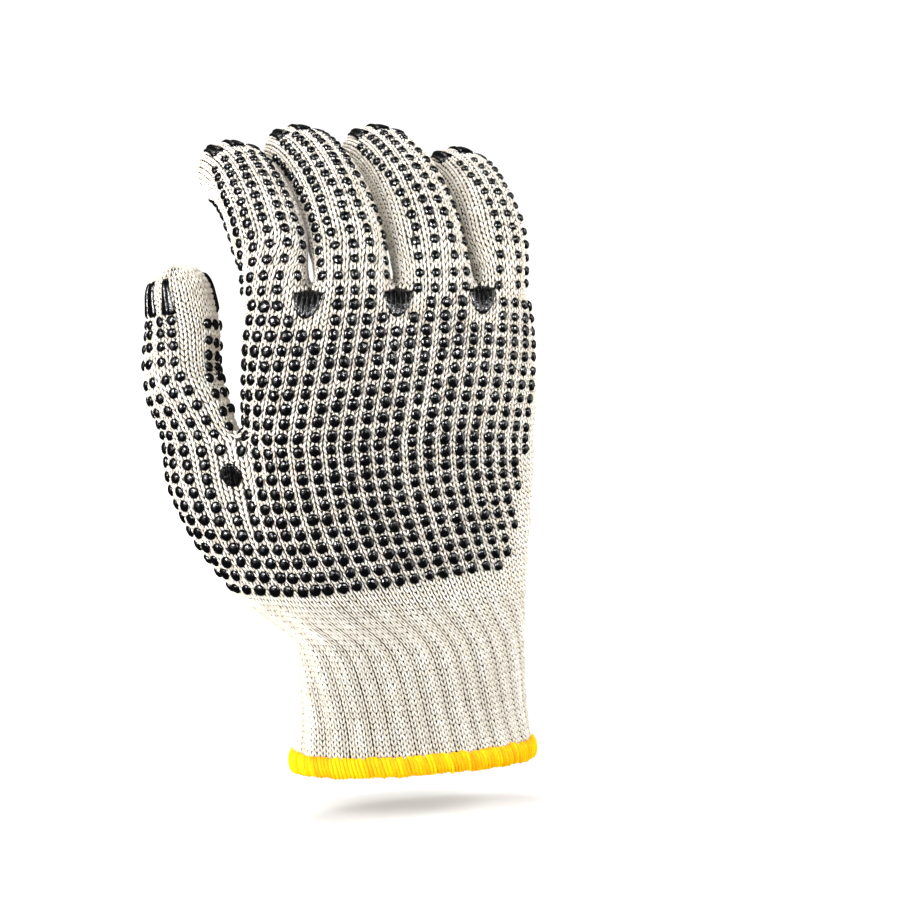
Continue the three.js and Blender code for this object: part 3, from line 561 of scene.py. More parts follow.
def weave_fingers(skin):
    """Parts the top of the hand into four rings and sets a finger on each."""
    top = skin.tubes["upper"][-1]
    start = 0
    near = top[PALM_END + 1:]
    for row in FINGERS:
        n = row[1]
        back = top[start:start + n + 1]
        palm = top[PALM_END - start - n:PALM_END - start + 1]
        if row is FINGERS[-1]:
            far = top[HAND_WALES + 1:HAND_WALES + STRIP]
        else:
            t = (np.arange(1, STRIP) / STRIP)[:, None]
            bridge = skin.points[back[n]] * (1 - t) + skin.points[palm[0]] * t
            bridge[:, 2] += WEB_RISE * np.sin(np.pi * t[:, 0])
            far = skin.add_row(bridge)
        weave_finger(skin, row, np.concatenate([back, far, palm, near]))
        near = far[::-1]
        start += n


def ease_forks(skin):
    """Eases the cloth where tubes meet."""
    points = np.array(skin.points)
    pairs = []
    for ids in skin.tubes.values():
        pairs.append(np.stack([ids[:-1].ravel(), ids[1:].ravel()], 1))
        pairs.append(np.stack([ids.ravel(), np.roll(ids, -1, 1).ravel()], 1))
    pairs = np.unique(np.sort(np.concatenate(pairs), 1), axis=0)
    forks = np.concatenate([points[skin.tubes[name][0]] for name in DIGITS])
    nearest = np.full(len(points), np.inf)
    for fork in forks:
        nearest = np.minimum(nearest, ((points - fork) ** 2).sum(1))
    ease = EASE * np.exp(-nearest / EASE_REACH**2)[:, None]
    counts = np.zeros(len(points))
    np.add.at(counts, pairs.ravel(), 1)
    for _ in range(EASE_ROUNDS):
        sums = np.zeros_like(points)
        np.add.at(sums, pairs[:, 0], points[pairs[:, 1]])
        np.add.at(sums, pairs[:, 1], points[pairs[:, 0]])
        points = points + ease * (sums / counts[:, None] - points)
    skin.points = points


def groove_depths():
    """How deep the elastic draws in each wale of the cuff, in millimetres."""
    grooves = np.cumsum(np.tile(GROOVE_STEPS, 4))
    grooves = grooves[grooves < WHOLE - 1]
    wales = np.arange(WHOLE)
    apart = np.abs((wales[:, None] - grooves + WHOLE / 2) % WHOLE - WHOLE / 2).min(1)
    deep, beside = GROOVE_DEPTHS
    return np.where(apart < 0.5, deep, np.where(apart < 1.5, beside, 0.0))


def draw_in_cuff(skin):
    """Elastic grooves run up the cuff between uneven ribs and fade into the hand."""
    ids = skin.tubes["lower"]
    depth = groove_depths()
    start, height = GROOVE_FADE
    for row in ids:
        ring = skin.points[row]
        share = 1 - fade((ring[0, 2] - start) / height)
        out = unit(np.cross(np.roll(ring, -1, 0) - np.roll(ring, 1, 0), [0.0, 0.0, 1.0]))
        skin.points[row] = ring - out * (depth * share)[:, None]


class Net:
    """One tube of the skin: its points and outward normals, read at any wale and course."""

    def __init__(self, skin, normals, name):
        ids = skin.tubes[name]
        self.points = skin.points[ids]
        self.normals = normals[ids]
        self.rows, self.wales = ids.shape

    def read(self, rows, wales):
        """Points and outward normals at arrays of places."""
        rows = np.clip(np.asarray(rows, float), 0, self.rows - 1.001)
        r = np.floor(rows).astype(int)
        c = np.floor(wales).astype(int)
        t, u = (rows - r)[..., None], (wales - c)[..., None]
        a, b = c % self.wales, (c + 1) % self.wales
        found = []
        for grid in (self.points, self.normals):
            low = grid[r, a] * (1 - u) + grid[r, b] * u
            high = grid[r + 1, a] * (1 - u) + grid[r + 1, b] * u
            found.append(low * (1 - t) + high * t)
        return found[0], unit(found[1])

    def spot(self, row, wale):
        """Point and outward normal at one place."""
        point, normal = self.read(np.array([row]), np.array([float(wale)]))
        return point[0], normal[0]


def skin_faces(skin):
    """Four-sided faces of all tubes, a cell of the knit each."""
    faces = []
    for ids in skin.tubes.values():
        a, b = ids[:-1], np.roll(ids[:-1], -1, 1)
        d, c = ids[1:], np.roll(ids[1:], -1, 1)
        faces.append(np.stack([a, b, c, d], -1).reshape(-1, 4))
    return np.concatenate(faces)


def skin_normals(skin, faces):
    """Outward normals of all points."""
    normals = np.zeros_like(skin.points)
    corner = skin.points[faces]
    face = np.cross(corner[:, 2] - corner[:, 0], corner[:, 3] - corner[:, 1])
    for k in range(4):
        np.add.at(normals, faces[:, k], face)
    return unit(normals)


def weave_glove():
    """The whole outer surface."""
    skin = Skin()
    palm, thumb = weave_lower(skin)
    bridge = weave_bridge(skin, palm, thumb)
    weave_upper(skin, bridge)
    weave_thumb(skin, bridge)
    weave_fingers(skin)
    ease_forks(skin)
    draw_in_cuff(skin)
    return skin


class Socket:
    """A socket of a material's nodes, so that its maths is written as Python."""

    def __init__(self, tree, socket):
        self.tree = tree
        self.socket = socket

    def maths(self, operation, first, second):
        node = self.tree.nodes.new("ShaderNodeMath")
        node.operation = operation
        for place, item in enumerate((first, second)):
            if isinstance(item, Socket):
                self.tree.links.new(item.socket, node.inputs[place])
            else:
                node.inputs[place].default_value = item
        return Socket(self.tree, node.outputs[0])

    def __add__(self, other):
        return self.maths("ADD", self, other)

    def __radd__(self, other):
        return self.maths("ADD", other, self)

    def __mul__(self, other):
        return self.maths("MULTIPLY", self, other)

    def __rmul__(self, other):
        return self.maths("MULTIPLY", other, self)


class Finish:
    """A material under construction."""

    def __init__(self, name):
        self.material = bpy.data.materials.new(name)
        self.material.use_nodes = True
        self.tree = self.material.node_tree
        self.tree.nodes.clear()

    def node(self, kind, settings=None, inputs=None, output=0):
        """Adds a node: its settings first, then the values or links of its sockets."""
        node = self.tree.nodes.new(kind)
        for key, value in (settings or {}).items():
            setattr(node, key, value)
        for key, value in (inputs or {}).items():
            if isinstance(value, Socket):
                self.tree.links.new(value.socket, node.inputs[key])
            else:
                node.inputs[key].default_value = value
        return Socket(self.tree, node.outputs[output]) if len(node.outputs) else None

    def place(self):
        return self.node("ShaderNodeTexCoord", output="Object")

    def noise(self, scale, detail=2.0, roughness=0.5):
        sockets = {"Vector": self.place(), "Scale": scale, "Detail": detail, "Roughness": roughness}
        return self.node("ShaderNodeTexNoise", {}, sockets, "Fac")

    def value(self, attribute):
        return self.node("ShaderNodeAttribute", {"attribute_name": attribute}, {}, "Fac")

    def between(self, low, high, share):
        """Share between low and high, kept from 0 to 1."""
        settings = {"clamp": True}
        sockets = {"Value": share, "From Min": low, "From Max": high}
        return self.node("ShaderNodeMapRange", settings, sockets)

    def mix(self, share, first, second):
        settings = {"data_type": "RGBA"}
        return self.node("ShaderNodeMix", settings, {0: share, 6: first, 7: second}, 2)

    def bump(self, height, distance, strength=1.0):
        sockets = {"Height": height, "Distance": distance, "Strength": strength}
        return self.node("ShaderNodeBump", {}, sockets)

    def surface(self, **sockets):
        named = {key.replace("_", " "): value for key, value in sockets.items()}
        shader = self.node("ShaderNodeBsdfPrincipled", {}, named)
        self.node("ShaderNodeOutputMaterial", {}, {"Surface": shader})
        return self.material


def colour(red, green, blue):
    """Colour from its ordinary 0 to 255 values."""
    linear = [v / 255 / 12.92 if v < 10.3 else ((v / 255 + 0.055) / 1.055) ** 2.4
              for v in (red, green, blue)]
    return (*linear, 1.0)


def knitted_cotton(name, light, shade):
    """Loops of undyed cotton yarn: soft blotches, slubs and fine fibre."""
    finish = Finish(name)
    blotch = finish.noise(55.0, 3.0)
    slub = finish.noise(600.0, 2.0)
    fibre = finish.noise(4500.0, 3.0, 0.65)
    # tone: random for each loop; in the cuff's grooves also lowered as painted shade
    tone = finish.value("tone")
    share = finish.between(0.25, 0.85, blotch * 0.35 + slub * 0.3 + tone * 0.35)
    body = finish.mix(share, shade, light)
    fleck = finish.between(0.62, 0.78, finish.noise(1500.0, 2.0)) * 0.35
    body = finish.mix(fleck, body, colour(186, 164, 130))
    return finish.surface(
        Base_Color=body,
        Roughness=0.86 + 0.1 * fibre,
        Sheen_Weight=0.12,
        Sheen_Roughness=0.5,
        Specular_IOR_Level=0.15,
        Normal=finish.bump(fibre + 0.6 * slub, 0.00025, 0.5),
    )


def ground_and_painted_shade():
    """Cloth under the loops: painted shade, a near-black brown where it shows between the wales, and
    paler cream inside the glove.
    """
    finish = Finish("knit_ground_and_painted_shade")
    inside = finish.value("inside")
    weave = finish.noise(1100.0, 3.0)
    fibre = finish.noise(4500.0, 3.0, 0.65)
    # painted shade: the outer wall is near-black brown because the gaps between the loops lie in
    # shade, not because the yarn is dark
    deep = finish.mix(weave, colour(18, 14, 10), colour(52, 42, 30))
    lining = finish.mix(weave, colour(206, 194, 170), colour(228, 220, 202))
    return finish.surface(
        Base_Color=finish.mix(inside, deep, lining),
        Roughness=0.9 + 0.08 * fibre,
        Specular_IOR_Level=0.15,
        Normal=finish.bump(weave + 0.4 * fibre, 0.0005, 0.6),
    )


def grip_print():
    """Glossy black print with a slightly uneven skin."""
    finish = Finish("grip_print")
    cloud = finish.noise(900.0, 2.0)
    grain = finish.noise(3500.0, 2.0)
    return finish.surface(
        Base_Color=finish.mix(cloud, colour(1, 1, 2), colour(6, 6, 7)),
        Roughness=0.13 + 0.14 * finish.between(0.3, 0.75, cloud),
        Specular_IOR_Level=0.13,
        Normal=finish.bump(cloud + 0.2 * grain, 0.0004, 0.5),
    )


def hem_yarn():
    """Bright yellow overlock yarn, mixed by noise and each turn's tone with an orange that is
    painted shade.
    """
    finish = Finish("hem_yarn")
    cloud = finish.noise(140.0, 3.0)
    ply = finish.noise(1600.0, 2.0)
    fibre = finish.noise(5000.0, 2.0, 0.65)
    tone = finish.value("tone")
    share = finish.between(0.2, 0.75, 0.4 * cloud + 0.25 * ply + 0.35 * tone)
    return finish.surface(
        # painted shade: the orange stands in for the shade on the turns of yarn, spread by noise and
        # tone, not by depth
        Base_Color=finish.mix(share, colour(230, 150, 0), colour(250, 211, 0)),
        Roughness=0.66 + 0.2 * fibre,
        Specular_IOR_Level=0.04,
        Normal=finish.bump(ply + 0.5 * fibre, 0.0003, 0.5),
    )


def studio_floor():
    """Pale sweep that glows as painted light, its glow dimmer round the glove as a painted shadow so
    that its soft shadow shows.
    """
    finish = Finish("studio_floor")
    cloud = finish.noise(6.0, 2.0)
    settings = {"operation": "LENGTH"}
    away = finish.node("ShaderNodeVectorMath", settings, {0: finish.place()}, "Value")
    # painted light and shadow: the glow is dim within 8 cm of the origin and full from 50 cm out
    dim, bright = (0.32, 0.32, 0.32, 1.0), (1.0, 1.0, 1.0, 1.0)
    glow = finish.mix(finish.between(0.08, 0.5, away), dim, bright)
    return finish.surface(
        Base_Color=finish.mix(cloud, colour(196, 196, 196), colour(204, 204, 204)),
        Roughness=0.85 + 0.1 * cloud,
        Specular_IOR_Level=0.0,
        Emission_Color=glow,
        Emission_Strength=1.0,
    )


def new_mesh(name, points, faces):
    """A mesh object in metres from points in millimetres."""
    mesh = bpy.data.meshes.new(name)
    mesh.from_pydata((np.asarray(points) * MM).tolist(), [], [tuple(f) for f in faces])
    mesh.polygons.foreach_set("use_smooth", [True] * len(mesh.polygons))
    mesh.update()
    piece = bpy.data.objects.new(name, mesh)
    bpy.context.scene.collection.objects.link(piece)
    return piece


def add_attribute(piece, name, kind, values):
    """Keeps a value for each point of a piece."""
    layer = piece.data.attributes.new(name, kind, "POINT")
    key = {"FLOAT": "value", "FLOAT_VECTOR": "vector", "QUATERNION": "value"}[kind]
    layer.data.foreach_set(key, np.asarray(values, np.float32).ravel())


def finish_piece(piece, material, slot, *nodes):
    """Gives a piece its material and body, and hides the solids it stands for; slot is not used."""
    if not piece.data.materials:
        piece.data.materials.append(material)
    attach(piece, "root")
    if nodes:
        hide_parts(*nodes)
    return piece


class Grower:
    """A Geometry Nodes tree with named inputs that ends in plain, painted faces."""

    def __init__(self, name):
        self.tree = bpy.data.node_groups.new(name, "GeometryNodeTree")
        self.tree.interface.new_socket("Geometry", in_out="INPUT", socket_type="NodeSocketGeometry")
        self.tree.interface.new_socket("Geometry", in_out="OUTPUT", socket_type="NodeSocketGeometry")
        self.start = self.tree.nodes.new("NodeGroupInput")
        self.values = {}

    def size(self, name, value):
        """A named input of the tree, in metres or as a plain number."""
        kind = "NodeSocketVector" if isinstance(value, tuple) else "NodeSocketFloat"
        kind = "NodeSocketInt" if isinstance(value, int) else kind
        socket = self.tree.interface.new_socket(name, in_out="INPUT", socket_type=kind)
        self.values[socket.identifier] = value
        return self.start.outputs[name]

    def node(self, kind, settings=None, inputs=None, output=0):
        node = self.tree.nodes.new(kind)
        for key, value in (settings or {}).items():
            setattr(node, key, value)
        for key, value in (inputs or {}).items():
            if isinstance(value, bpy.types.NodeSocket):
                self.tree.links.new(value, node.inputs[key])
            elif isinstance(value, list):
                for item in reversed(value):
                    self.tree.links.new(item, node.inputs[key])
            else:
                node.inputs[key].default_value = value
        return node.outputs[output]

    def attribute(self, name, kind):
        return self.node("GeometryNodeInputNamedAttribute", {"data_type": kind}, {"Name": name})

    def maths(self, operation, first, second=0.0):
        return self.node("ShaderNodeMath", {"operation": operation}, {0: first, 1: second})

    def grow(self, piece, shape, material):
        """Sets the shape on every point of the piece and makes one plain mesh of it."""
        spots = self.node("GeometryNodeInstanceOnPoints", {}, {
            "Points": self.start.outputs["Geometry"],
            "Instance": shape,
            "Rotation": self.attribute("turn", "QUATERNION"),
            "Scale": self.attribute("size", "FLOAT_VECTOR"),
        })
        real = self.node("GeometryNodeRealizeInstances", {}, {"Geometry": spots})
        last = self.settle(real)
        last = self.node("GeometryNodeSetShadeSmooth", {}, {"Geometry": last})
        last = self.node("GeometryNodeSetMaterial", {}, {"Geometry": last, "Material": material})
        end = self.tree.nodes.new("NodeGroupOutput")
        self.tree.links.new(last, end.inputs["Geometry"])
        modifier = piece.modifiers.new("grow", "NODES")
        modifier.node_group = self.tree
        for key, value in self.values.items():
            modifier[key] = value
        bpy.context.view_layer.update()
        shown = piece.evaluated_get(bpy.context.evaluated_depsgraph_get())
        mesh = bpy.data.meshes.new_from_object(shown)
        piece.modifiers.clear()
        piece.data = mesh
        bpy.data.node_groups.remove(self.tree)
        return piece

    def settle(self, geometry):
        return geometry


def as_quaternions(x, y, z):
    """Quaternions (w, x, y, z) that turn the axes onto three unit vectors each."""
    m = np.stack([x, y, z], -1)
    trace = [m[:, 0, 0], m[:, 1, 1], m[:, 2, 2]]
    w = np.sqrt(np.maximum(1 + trace[0] + trace[1] + trace[2], 1e-12)) / 2
    i = np.sqrt(np.maximum(1 + trace[0] - trace[1] - trace[2], 1e-12)) / 2
    j = np.sqrt(np.maximum(1 - trace[0] + trace[1] - trace[2], 1e-12)) / 2
    k = np.sqrt(np.maximum(1 - trace[0] - trace[1] + trace[2], 1e-12)) / 2
    a, b, c = m[:, 2, 1] - m[:, 1, 2], m[:, 0, 2] - m[:, 2, 0], m[:, 1, 0] - m[:, 0, 1]
    d, e, f = m[:, 0, 1] + m[:, 1, 0], m[:, 1, 2] + m[:, 2, 1], m[:, 0, 2] + m[:, 2, 0]
    made = np.stack([
        np.stack([w, a / (4 * w), b / (4 * w), c / (4 * w)], -1),
        np.stack([a / (4 * i), i, d / (4 * i), f / (4 * i)], -1),
        np.stack([b / (4 * j), d / (4 * j), j, e / (4 * j)], -1),
        np.stack([c / (4 * k), f / (4 * k), e / (4 * k), k], -1),
    ], 1)
    best = np.argmax(np.stack([w, i, j, k], -1), 1)
    return unit(made[np.arange(len(m)), best])


def spots(name, places, x, y, z, sizes, tones):
    """Points that carry a turn, a size and a tone for the shapes set on them."""
    piece = new_mesh(name, places, [])
    add_attribute(piece, "turn", "QUATERNION", as_quaternions(x, y, z))
    add_attribute(piece, "size", "FLOAT_VECTOR", np.asarray(sizes) * MM)
    add_attribute(piece, "tone", "FLOAT", tones)
    return piece


def place_camera():
    """Camera at the photograph's side and height, the glove left of the middle."""
    azimuth, elevation = math.radians(AZIMUTH), math.radians(ELEVATION)
    right = Vector((math.cos(azimuth), math.sin(azimuth), 0.0))
    ahead = Vector((
        -math.sin(azimuth) * math.cos(elevation),
        math.cos(azimuth) * math.cos(elevation),
        -math.sin(elevation),
    ))
    target = Vector(GLOVE_MIDDLE) * MM + right * AIM_RIGHT * MM
    data = bpy.data.cameras.new("camera")
    data.lens = LENS
    data.sensor_width = SENSOR
    camera = bpy.data.objects.new("camera", data)
    camera.location = target - ahead * (DISTANCE * MM)
    camera.rotation_euler = ahead.to_track_quat("-Z", "Y").to_euler()
    bpy.context.scene.collection.objects.link(camera)
    bpy.context.scene.camera = camera


def light(name, place, size, power):
    """A white area lamp that points at the glove's middle."""
    data = bpy.data.lights.new(name, "AREA")
    data.shape = "RECTANGLE"
    data.size, data.size_y = size
    data.energy = power
    lamp = bpy.data.objects.new(name, data)
    lamp.location = place
    toward = Vector((0.0, 0.0, 0.1)) - Vector(place)
    lamp.rotation_euler = toward.to_track_quat("-Z", "Y").to_euler()
    bpy.context.scene.collection.objects.link(lamp)
    return lamp


def light_studio():
    """Pale sweep and sky, two tall softboxes, two weak lamps and two glints for the print."""
    scene = bpy.context.scene
    scene.view_settings.view_transform = "Standard"
    world = bpy.data.worlds.new("studio")
    world.use_nodes = True
    tree = world.node_tree
    seen = tree.nodes.new("ShaderNodeLightPath")
    level = tree.nodes.new("ShaderNodeMapRange")
    level.inputs["To Min"].default_value = SKY_LIGHT
    level.inputs["To Max"].default_value = SKY_MIRRORED
    tree.links.new(seen.outputs["Is Glossy Ray"], level.inputs["Value"])
    sky = tree.nodes.new("ShaderNodeMapRange")
    sky.inputs["To Max"].default_value = SKY_SEEN
    tree.links.new(seen.outputs["Is Camera Ray"], sky.inputs["Value"])
    tree.links.new(level.outputs[0], sky.inputs["To Min"])
    tree.links.new(sky.outputs[0], tree.nodes["Background"].inputs["Strength"])
    tree.nodes["Background"].inputs["Color"].default_value = (1.0, 1.0, 1.0, 1.0)
    scene.world = world
    light("softbox_left", (-1.0, -0.35, 0.45), (0.6, 1.1), 21.0)
    light("softbox_right", (1.0, -0.3, 0.4), (0.6, 1.1), 22.0)
    light("softbox_front", (-0.75, -1.0, 0.95), (0.35, 0.35), 5.0)
    light("overhead", (-0.25, 0.8, 1.3), (0.6, 0.6), 12.0)
    for name, place, size, power in (
        ("glint_left", (-1.05, -0.65, 0.75), (0.24, 0.32), 170.0),
        ("glint_right", (0.35, -1.0, 0.8), (0.18, 0.24), 70.0),
    ):
        light(name, place, size, power).visible_diffuse = False
    low, far = FLOOR_LEVEL, FLOOR_REACH
    floor = new_mesh("floor", [
        (-far, -far, low), (far, -far, low), (far, far, low), (-far, far, low),
    ], [(0, 1, 2, 3)])
    floor.data.materials.append(studio_floor())
    floor.visible_glossy = False


def make_cloth(skin, faces, normals, material):
    """One seamless ground for the loops: an outer and an inner wall joined at the wrist."""
    count = len(skin.points)
    # the outer wall under the loops carries the painted shade that shows between them
    outer = skin.points - normals * GROUND_DEPTH
    inner = skin.points - normals * CLOTH
    points = [*outer, *inner]
    rows = [tuple(f) for f in faces] + [tuple(f[::-1] + count) for f in faces]
    rim = skin.tubes["lower"][0]
    for i in [*rim, *(rim + count)]:
        points[i][2] = CLOTH_RIM
    ahead = np.roll(rim, -1)
    rows += [(a, a + count, b + count, b) for a, b in zip(rim, ahead)]
    for name in DIGITS:
        last = skin.tubes[name][-1]
        for base, flip in ((0, 1), (count, -1)):
            ring = last + base
            middle = np.mean([points[i] for i in ring], 0)
            points.append(middle)
            tip = len(points) - 1
            for a, b in zip(ring, np.roll(ring, -1)):
                rows.append((a, b, tip)[::flip])
    piece = new_mesh("glove_cloth", np.array(points), rows)
    inside = np.zeros(len(points))
    inside[count:2 * count] = 1.0
    add_attribute(piece, "inside", "FLOAT", inside)
    cloth_nodes = ["cuff", "lower_hand", "upper_hand", "thumb"]
    cloth_nodes += [f"{name}_finger" for name in FINGER_NAMES]
    return finish_piece(piece, material, "cotton_knit", *cloth_nodes)


def stitch_shape(tree, width):
    """One knitted loop: two yarn legs that part upwards from the middle of the wale."""
    yarn = tree.size("Yarn width", width)
    legs = []
    for side in (-1.0, 1.0):
        path = tree.node("GeometryNodeCurveQuadraticBezier", {}, {
            "Resolution": 3,
            "Start": (0.07 * side, 0.34, -0.74),
            "Middle": (0.27 * side, -0.2, -0.1),
            "End": (0.39 * side, 0.3, 0.6),
        })
        share = tree.node("GeometryNodeSplineParameter")
        swell = tree.maths("MULTIPLY", share, tree.maths("SUBTRACT", 1.0, share))
        swell = tree.maths("SQRT", tree.maths("MULTIPLY", swell, 4.0))
        swell = tree.maths("MAXIMUM", swell, 0.15)
        ring = tree.node("GeometryNodeCurvePrimitiveCircle", {}, {"Resolution": 4, "Radius": yarn})
        legs.append(tree.node("GeometryNodeCurveToMesh", {}, {
            "Curve": path, "Profile Curve": ring, "Scale": swell,
        }))
    return tree.node("GeometryNodeJoinGeometry", {}, {"Geometry": legs})


def make_stitches(name, net, rows, material, slot, seed, yarn=YARN, shade_grooves=False):
    """Loops over some courses of one tube; the cuff's loops get painted shade in its grooves, where
    their tone is darkened.
    """
    grid = net.points
    low, high = rows
    a, b = grid[low:high], np.roll(grid, -1, 1)[low:high]
    d, e = grid[low + 1:high + 1], np.roll(grid, -1, 1)[low + 1:high + 1]
    centre = ((a + b + d + e) / 4).reshape(-1, 3)
    rise = ((d + e - a - b) / 2).reshape(-1, 3)
    side = ((b + e - a - d) / 2).reshape(-1, 3)
    z = unit(rise)
    y = unit(np.cross(z, side))
    x = np.cross(y, z)
    width = np.abs((side * x).sum(1))
    height = np.linalg.norm(rise, axis=1)
    chance = np.random.default_rng(seed)
    count = len(centre)
    keep = (width > LEAST_CELL) & (height > LEAST_CELL)
    sizes = np.stack([width * chance.normal(1.0, 0.05, count),
                      LOOP_DEPTH * chance.normal(1.0, 0.07, count),
                      height * chance.normal(1.0, 0.04, count)], 1)
    tones = chance.random(count)
    if shade_grooves:
        # painted shade: the tone of loops in and beside a groove is lowered by the groove's depth,
        # so they are darker
        groove_shade = np.maximum(groove_depths(), np.roll(groove_depths(), -1))
        tones *= 1 - np.tile(groove_shade, high - low)
    centre = centre + y * 0.12 * chance.normal(0.0, 0.5, (count, 1))
    piece = spots(name, centre[keep], x[keep], y[keep], z[keep], sizes[keep], tones[keep])
    tree = Grower("knit_loops")
    tree.grow(piece, stitch_shape(tree, yarn), material)
    return finish_piece(piece, material, slot)


def digit_dots(nets):
    """Printed dots of the digits as rows of (tube, course, wale)."""
    found = []
    for name, (pitch, first, mirror, tracks) in TRACKS.items():
        keys = [row[0] for row in tracks]
        rows_apart, wales_apart = THUMB_PALM if name == "thumb" else FINGER_PALM
        last = nets[name].rows - BARE_TIP
        steps = np.arange(30)
        if name == "thumb":
            steps = steps * (1 + THUMB_STRETCH * steps)
        back = first + pitch * steps
        front = first + PALM_LATER + pitch * rows_apart * steps
        for column in range(1, len(tracks[0])):
            wales = [row[column] for row in tracks]
            for row in back[back < last]:
                found.append((name, row, float(np.interp(row, keys, wales))))
            for row in front[front < last]:
                wale = float(np.interp(row, keys, wales))
                found.append((name, row, mirror - wale * wales_apart))
    return found


def hand_dots(nets, palm):
    """Printed dots of the back or of the palm, in rows that climb to the little finger."""
    found = []
    for k in ROWS:
        for column in range(PALM_FIRST if palm else BACK_FIRST, HAND_WALES, 2):
            wale = column + np.interp(column, *zip(*COLUMNS))
            climb = np.interp(k, *zip(*CLIMB)) * np.interp(wale, *zip(*CLIMB_WALES))
            grown = min(max((k + DROP_ROWS) / DROP_ROWS, 0.0), 1.0)
            climb -= DROP * max(wale - DROP_WALE, 0.0) * grown
            z = ROW_LEVEL + ROW_STEPS[k > 0] * k + COURSE * climb
            below = z < THUMB_FORK
            last = np.interp(z, *zip(*(PALM_EDGE if palm else BACK_EDGE)))
            if palm:
                on_thumb = below and wale <= np.interp(z, *zip(*THUMB_EDGE))
                printed = on_thumb or PALM_START < wale < last
            else:
                printed = (below or wale > BACK_START) and wale < last
            if not printed:
                continue
            place = PALM_END - wale if palm else wale
            if below:
                row = z / THUMB_FORK * (nets["lower"].rows - 1)
                found.append(("lower", row, place + THUMB_WALES - SLIDE))
            else:
                row = (z - THUMB_FORK) / (FINGER_FORK - THUMB_FORK) * (nets["upper"].rows - 1)
                found.append(("upper", row, place))
    return found


class DotNet(Grower):
    """Domes with a slightly uneven skin."""

    def settle(self, geometry):
        lumps = self.node("ShaderNodeTexNoise", {}, {"Scale": 700.0, "Detail": 1.0}, "Color")
        push = self.node("ShaderNodeVectorMath", {"operation": "SUBTRACT"}, {
            0: lumps, 1: (0.5, 0.5, 0.5),
        })
        push = self.node("ShaderNodeVectorMath", {"operation": "SCALE"}, {
            0: push, "Scale": self.size("Unevenness", 0.0005),
        })
        return self.node("GeometryNodeSetPosition", {}, {"Geometry": geometry, "Offset": push})


def set_dots(name, nets, found, radius, material, seed):
    """Domes of print at the places found."""
    places, out, upwards = [], [], []
    for tube, row, wale in found:
        point, normal = nets[tube].spot(row, wale)
        places.append(point)
        out.append(normal)
        upwards.append(nets[tube].spot(row + 0.5, wale)[0] - nets[tube].spot(row - 0.5, wale)[0])
    places, out, upwards = np.array(places), np.array(out), np.array(upwards)
    z = unit(upwards - out * (upwards * out).sum(1)[:, None])
    y = -out
    x = np.cross(y, z)
    chance = np.random.default_rng(seed)
    count = len(places)
    spin = chance.normal(0.0, 0.35, count)[:, None]
    x, z = x * np.cos(spin) + z * np.sin(spin), z * np.cos(spin) - x * np.sin(spin)
    tips = np.array([tube in FINGER_NAMES and row / nets[tube].rows for tube, row, _ in found])
    wide = radius
    for place, (start, span, less) in ((places[:, 0], LITTLE_SIDE), (tips, TIP_SIDE)):
        wide = wide * (1 - less * fade((place - start) / span))
    sizes = np.stack([chance.normal(wide, 0.1), chance.normal(DOT_HEIGHT, 0.08, count),
                      chance.normal(wide * 1.05, 0.1)], 1)
    shift = chance.normal(0.0, 0.14, (count, 2))
    places = places + x * shift[:, :1] + z * shift[:, 1:] + out * 0.12
    piece = spots(name, places, x, y, z, sizes, chance.random(count))
    tree = DotNet("grip_domes")
    segments, rings = tree.size("Segments", 9), tree.size("Rings", 6)
    ball = tree.node("GeometryNodeMeshUVSphere", {}, {
        "Segments": segments, "Rings": rings, "Radius": 1.0,
    })
    tree.grow(piece, ball, material)
    return finish_piece(piece, material, "grip_print")


def fork_places(nets):
    """Corner of every fork patch: (name, tube, column, top course)."""
    top = nets["upper"].rows - 1
    places = []
    for k, name in enumerate(FINGER_NAMES[:3], 1):
        places.append((f"{name}_fork_patch_back", "upper", k * FINGER_WALES, top))
        places.append((f"{name}_fork_patch_palm", "upper", PALM_END - k * FINGER_WALES, top))
    top = nets["lower"].rows - 1 - THUMB_PATCH_DROP
    places.append(("thumb_fork_patch_back", "lower", THUMB_WALES - 1.0, top))
    places.append(("thumb_fork_patch_palm", "lower", PALM_FORK, top))
    return places


def pad_mesh(name, net, rows, halves, column, height, streaks, cells):
    """A low closed pad of print on a net: rows across it, each with its half width in wales."""
    side = np.linspace(-1.0, 1.0, cells + 1)
    grid_row = np.repeat(rows[:, None], cells + 1, 1)
    grid_wale = column + halves[:, None] * side[None, :]
    point, normal = net.read(grid_row, grid_wale)
    down = np.linspace(-1.0, 1.0, len(rows))
    rim = np.minimum(1 - np.abs(side)[None, :] ** 5, 1 - np.abs(down)[:, None] ** 7)
    rib = 0.5 + 0.5 * np.cos(grid_wale * 2 * np.pi * streaks)
    lift = 0.1 + rim ** 0.5 * height * (0.45 + 0.55 * rib)
    upper = point + normal * lift[..., None]
    lower = point - normal * 0.25
    count = upper.shape[0] * upper.shape[1]
    ids = np.arange(count).reshape(upper.shape[:2])
    faces = []
    for r in range(ids.shape[0] - 1):
        for c in range(cells):
            a, b, d, e = ids[r, c], ids[r, c + 1], ids[r + 1, c + 1], ids[r + 1, c]
            faces.append((a, b, d, e))
            faces.append((e + count, d + count, b + count, a + count))
    loop = [*ids[0, :-1], *ids[:-1, -1], *ids[-1, :0:-1], *ids[:0:-1, 0]]
    for a, b in zip(loop, loop[1:] + loop[:1]):
        faces.append((a, a + count, b + count, b))
    return new_mesh(name, np.concatenate([upper.reshape(-1, 3), lower.reshape(-1, 3)]), faces)


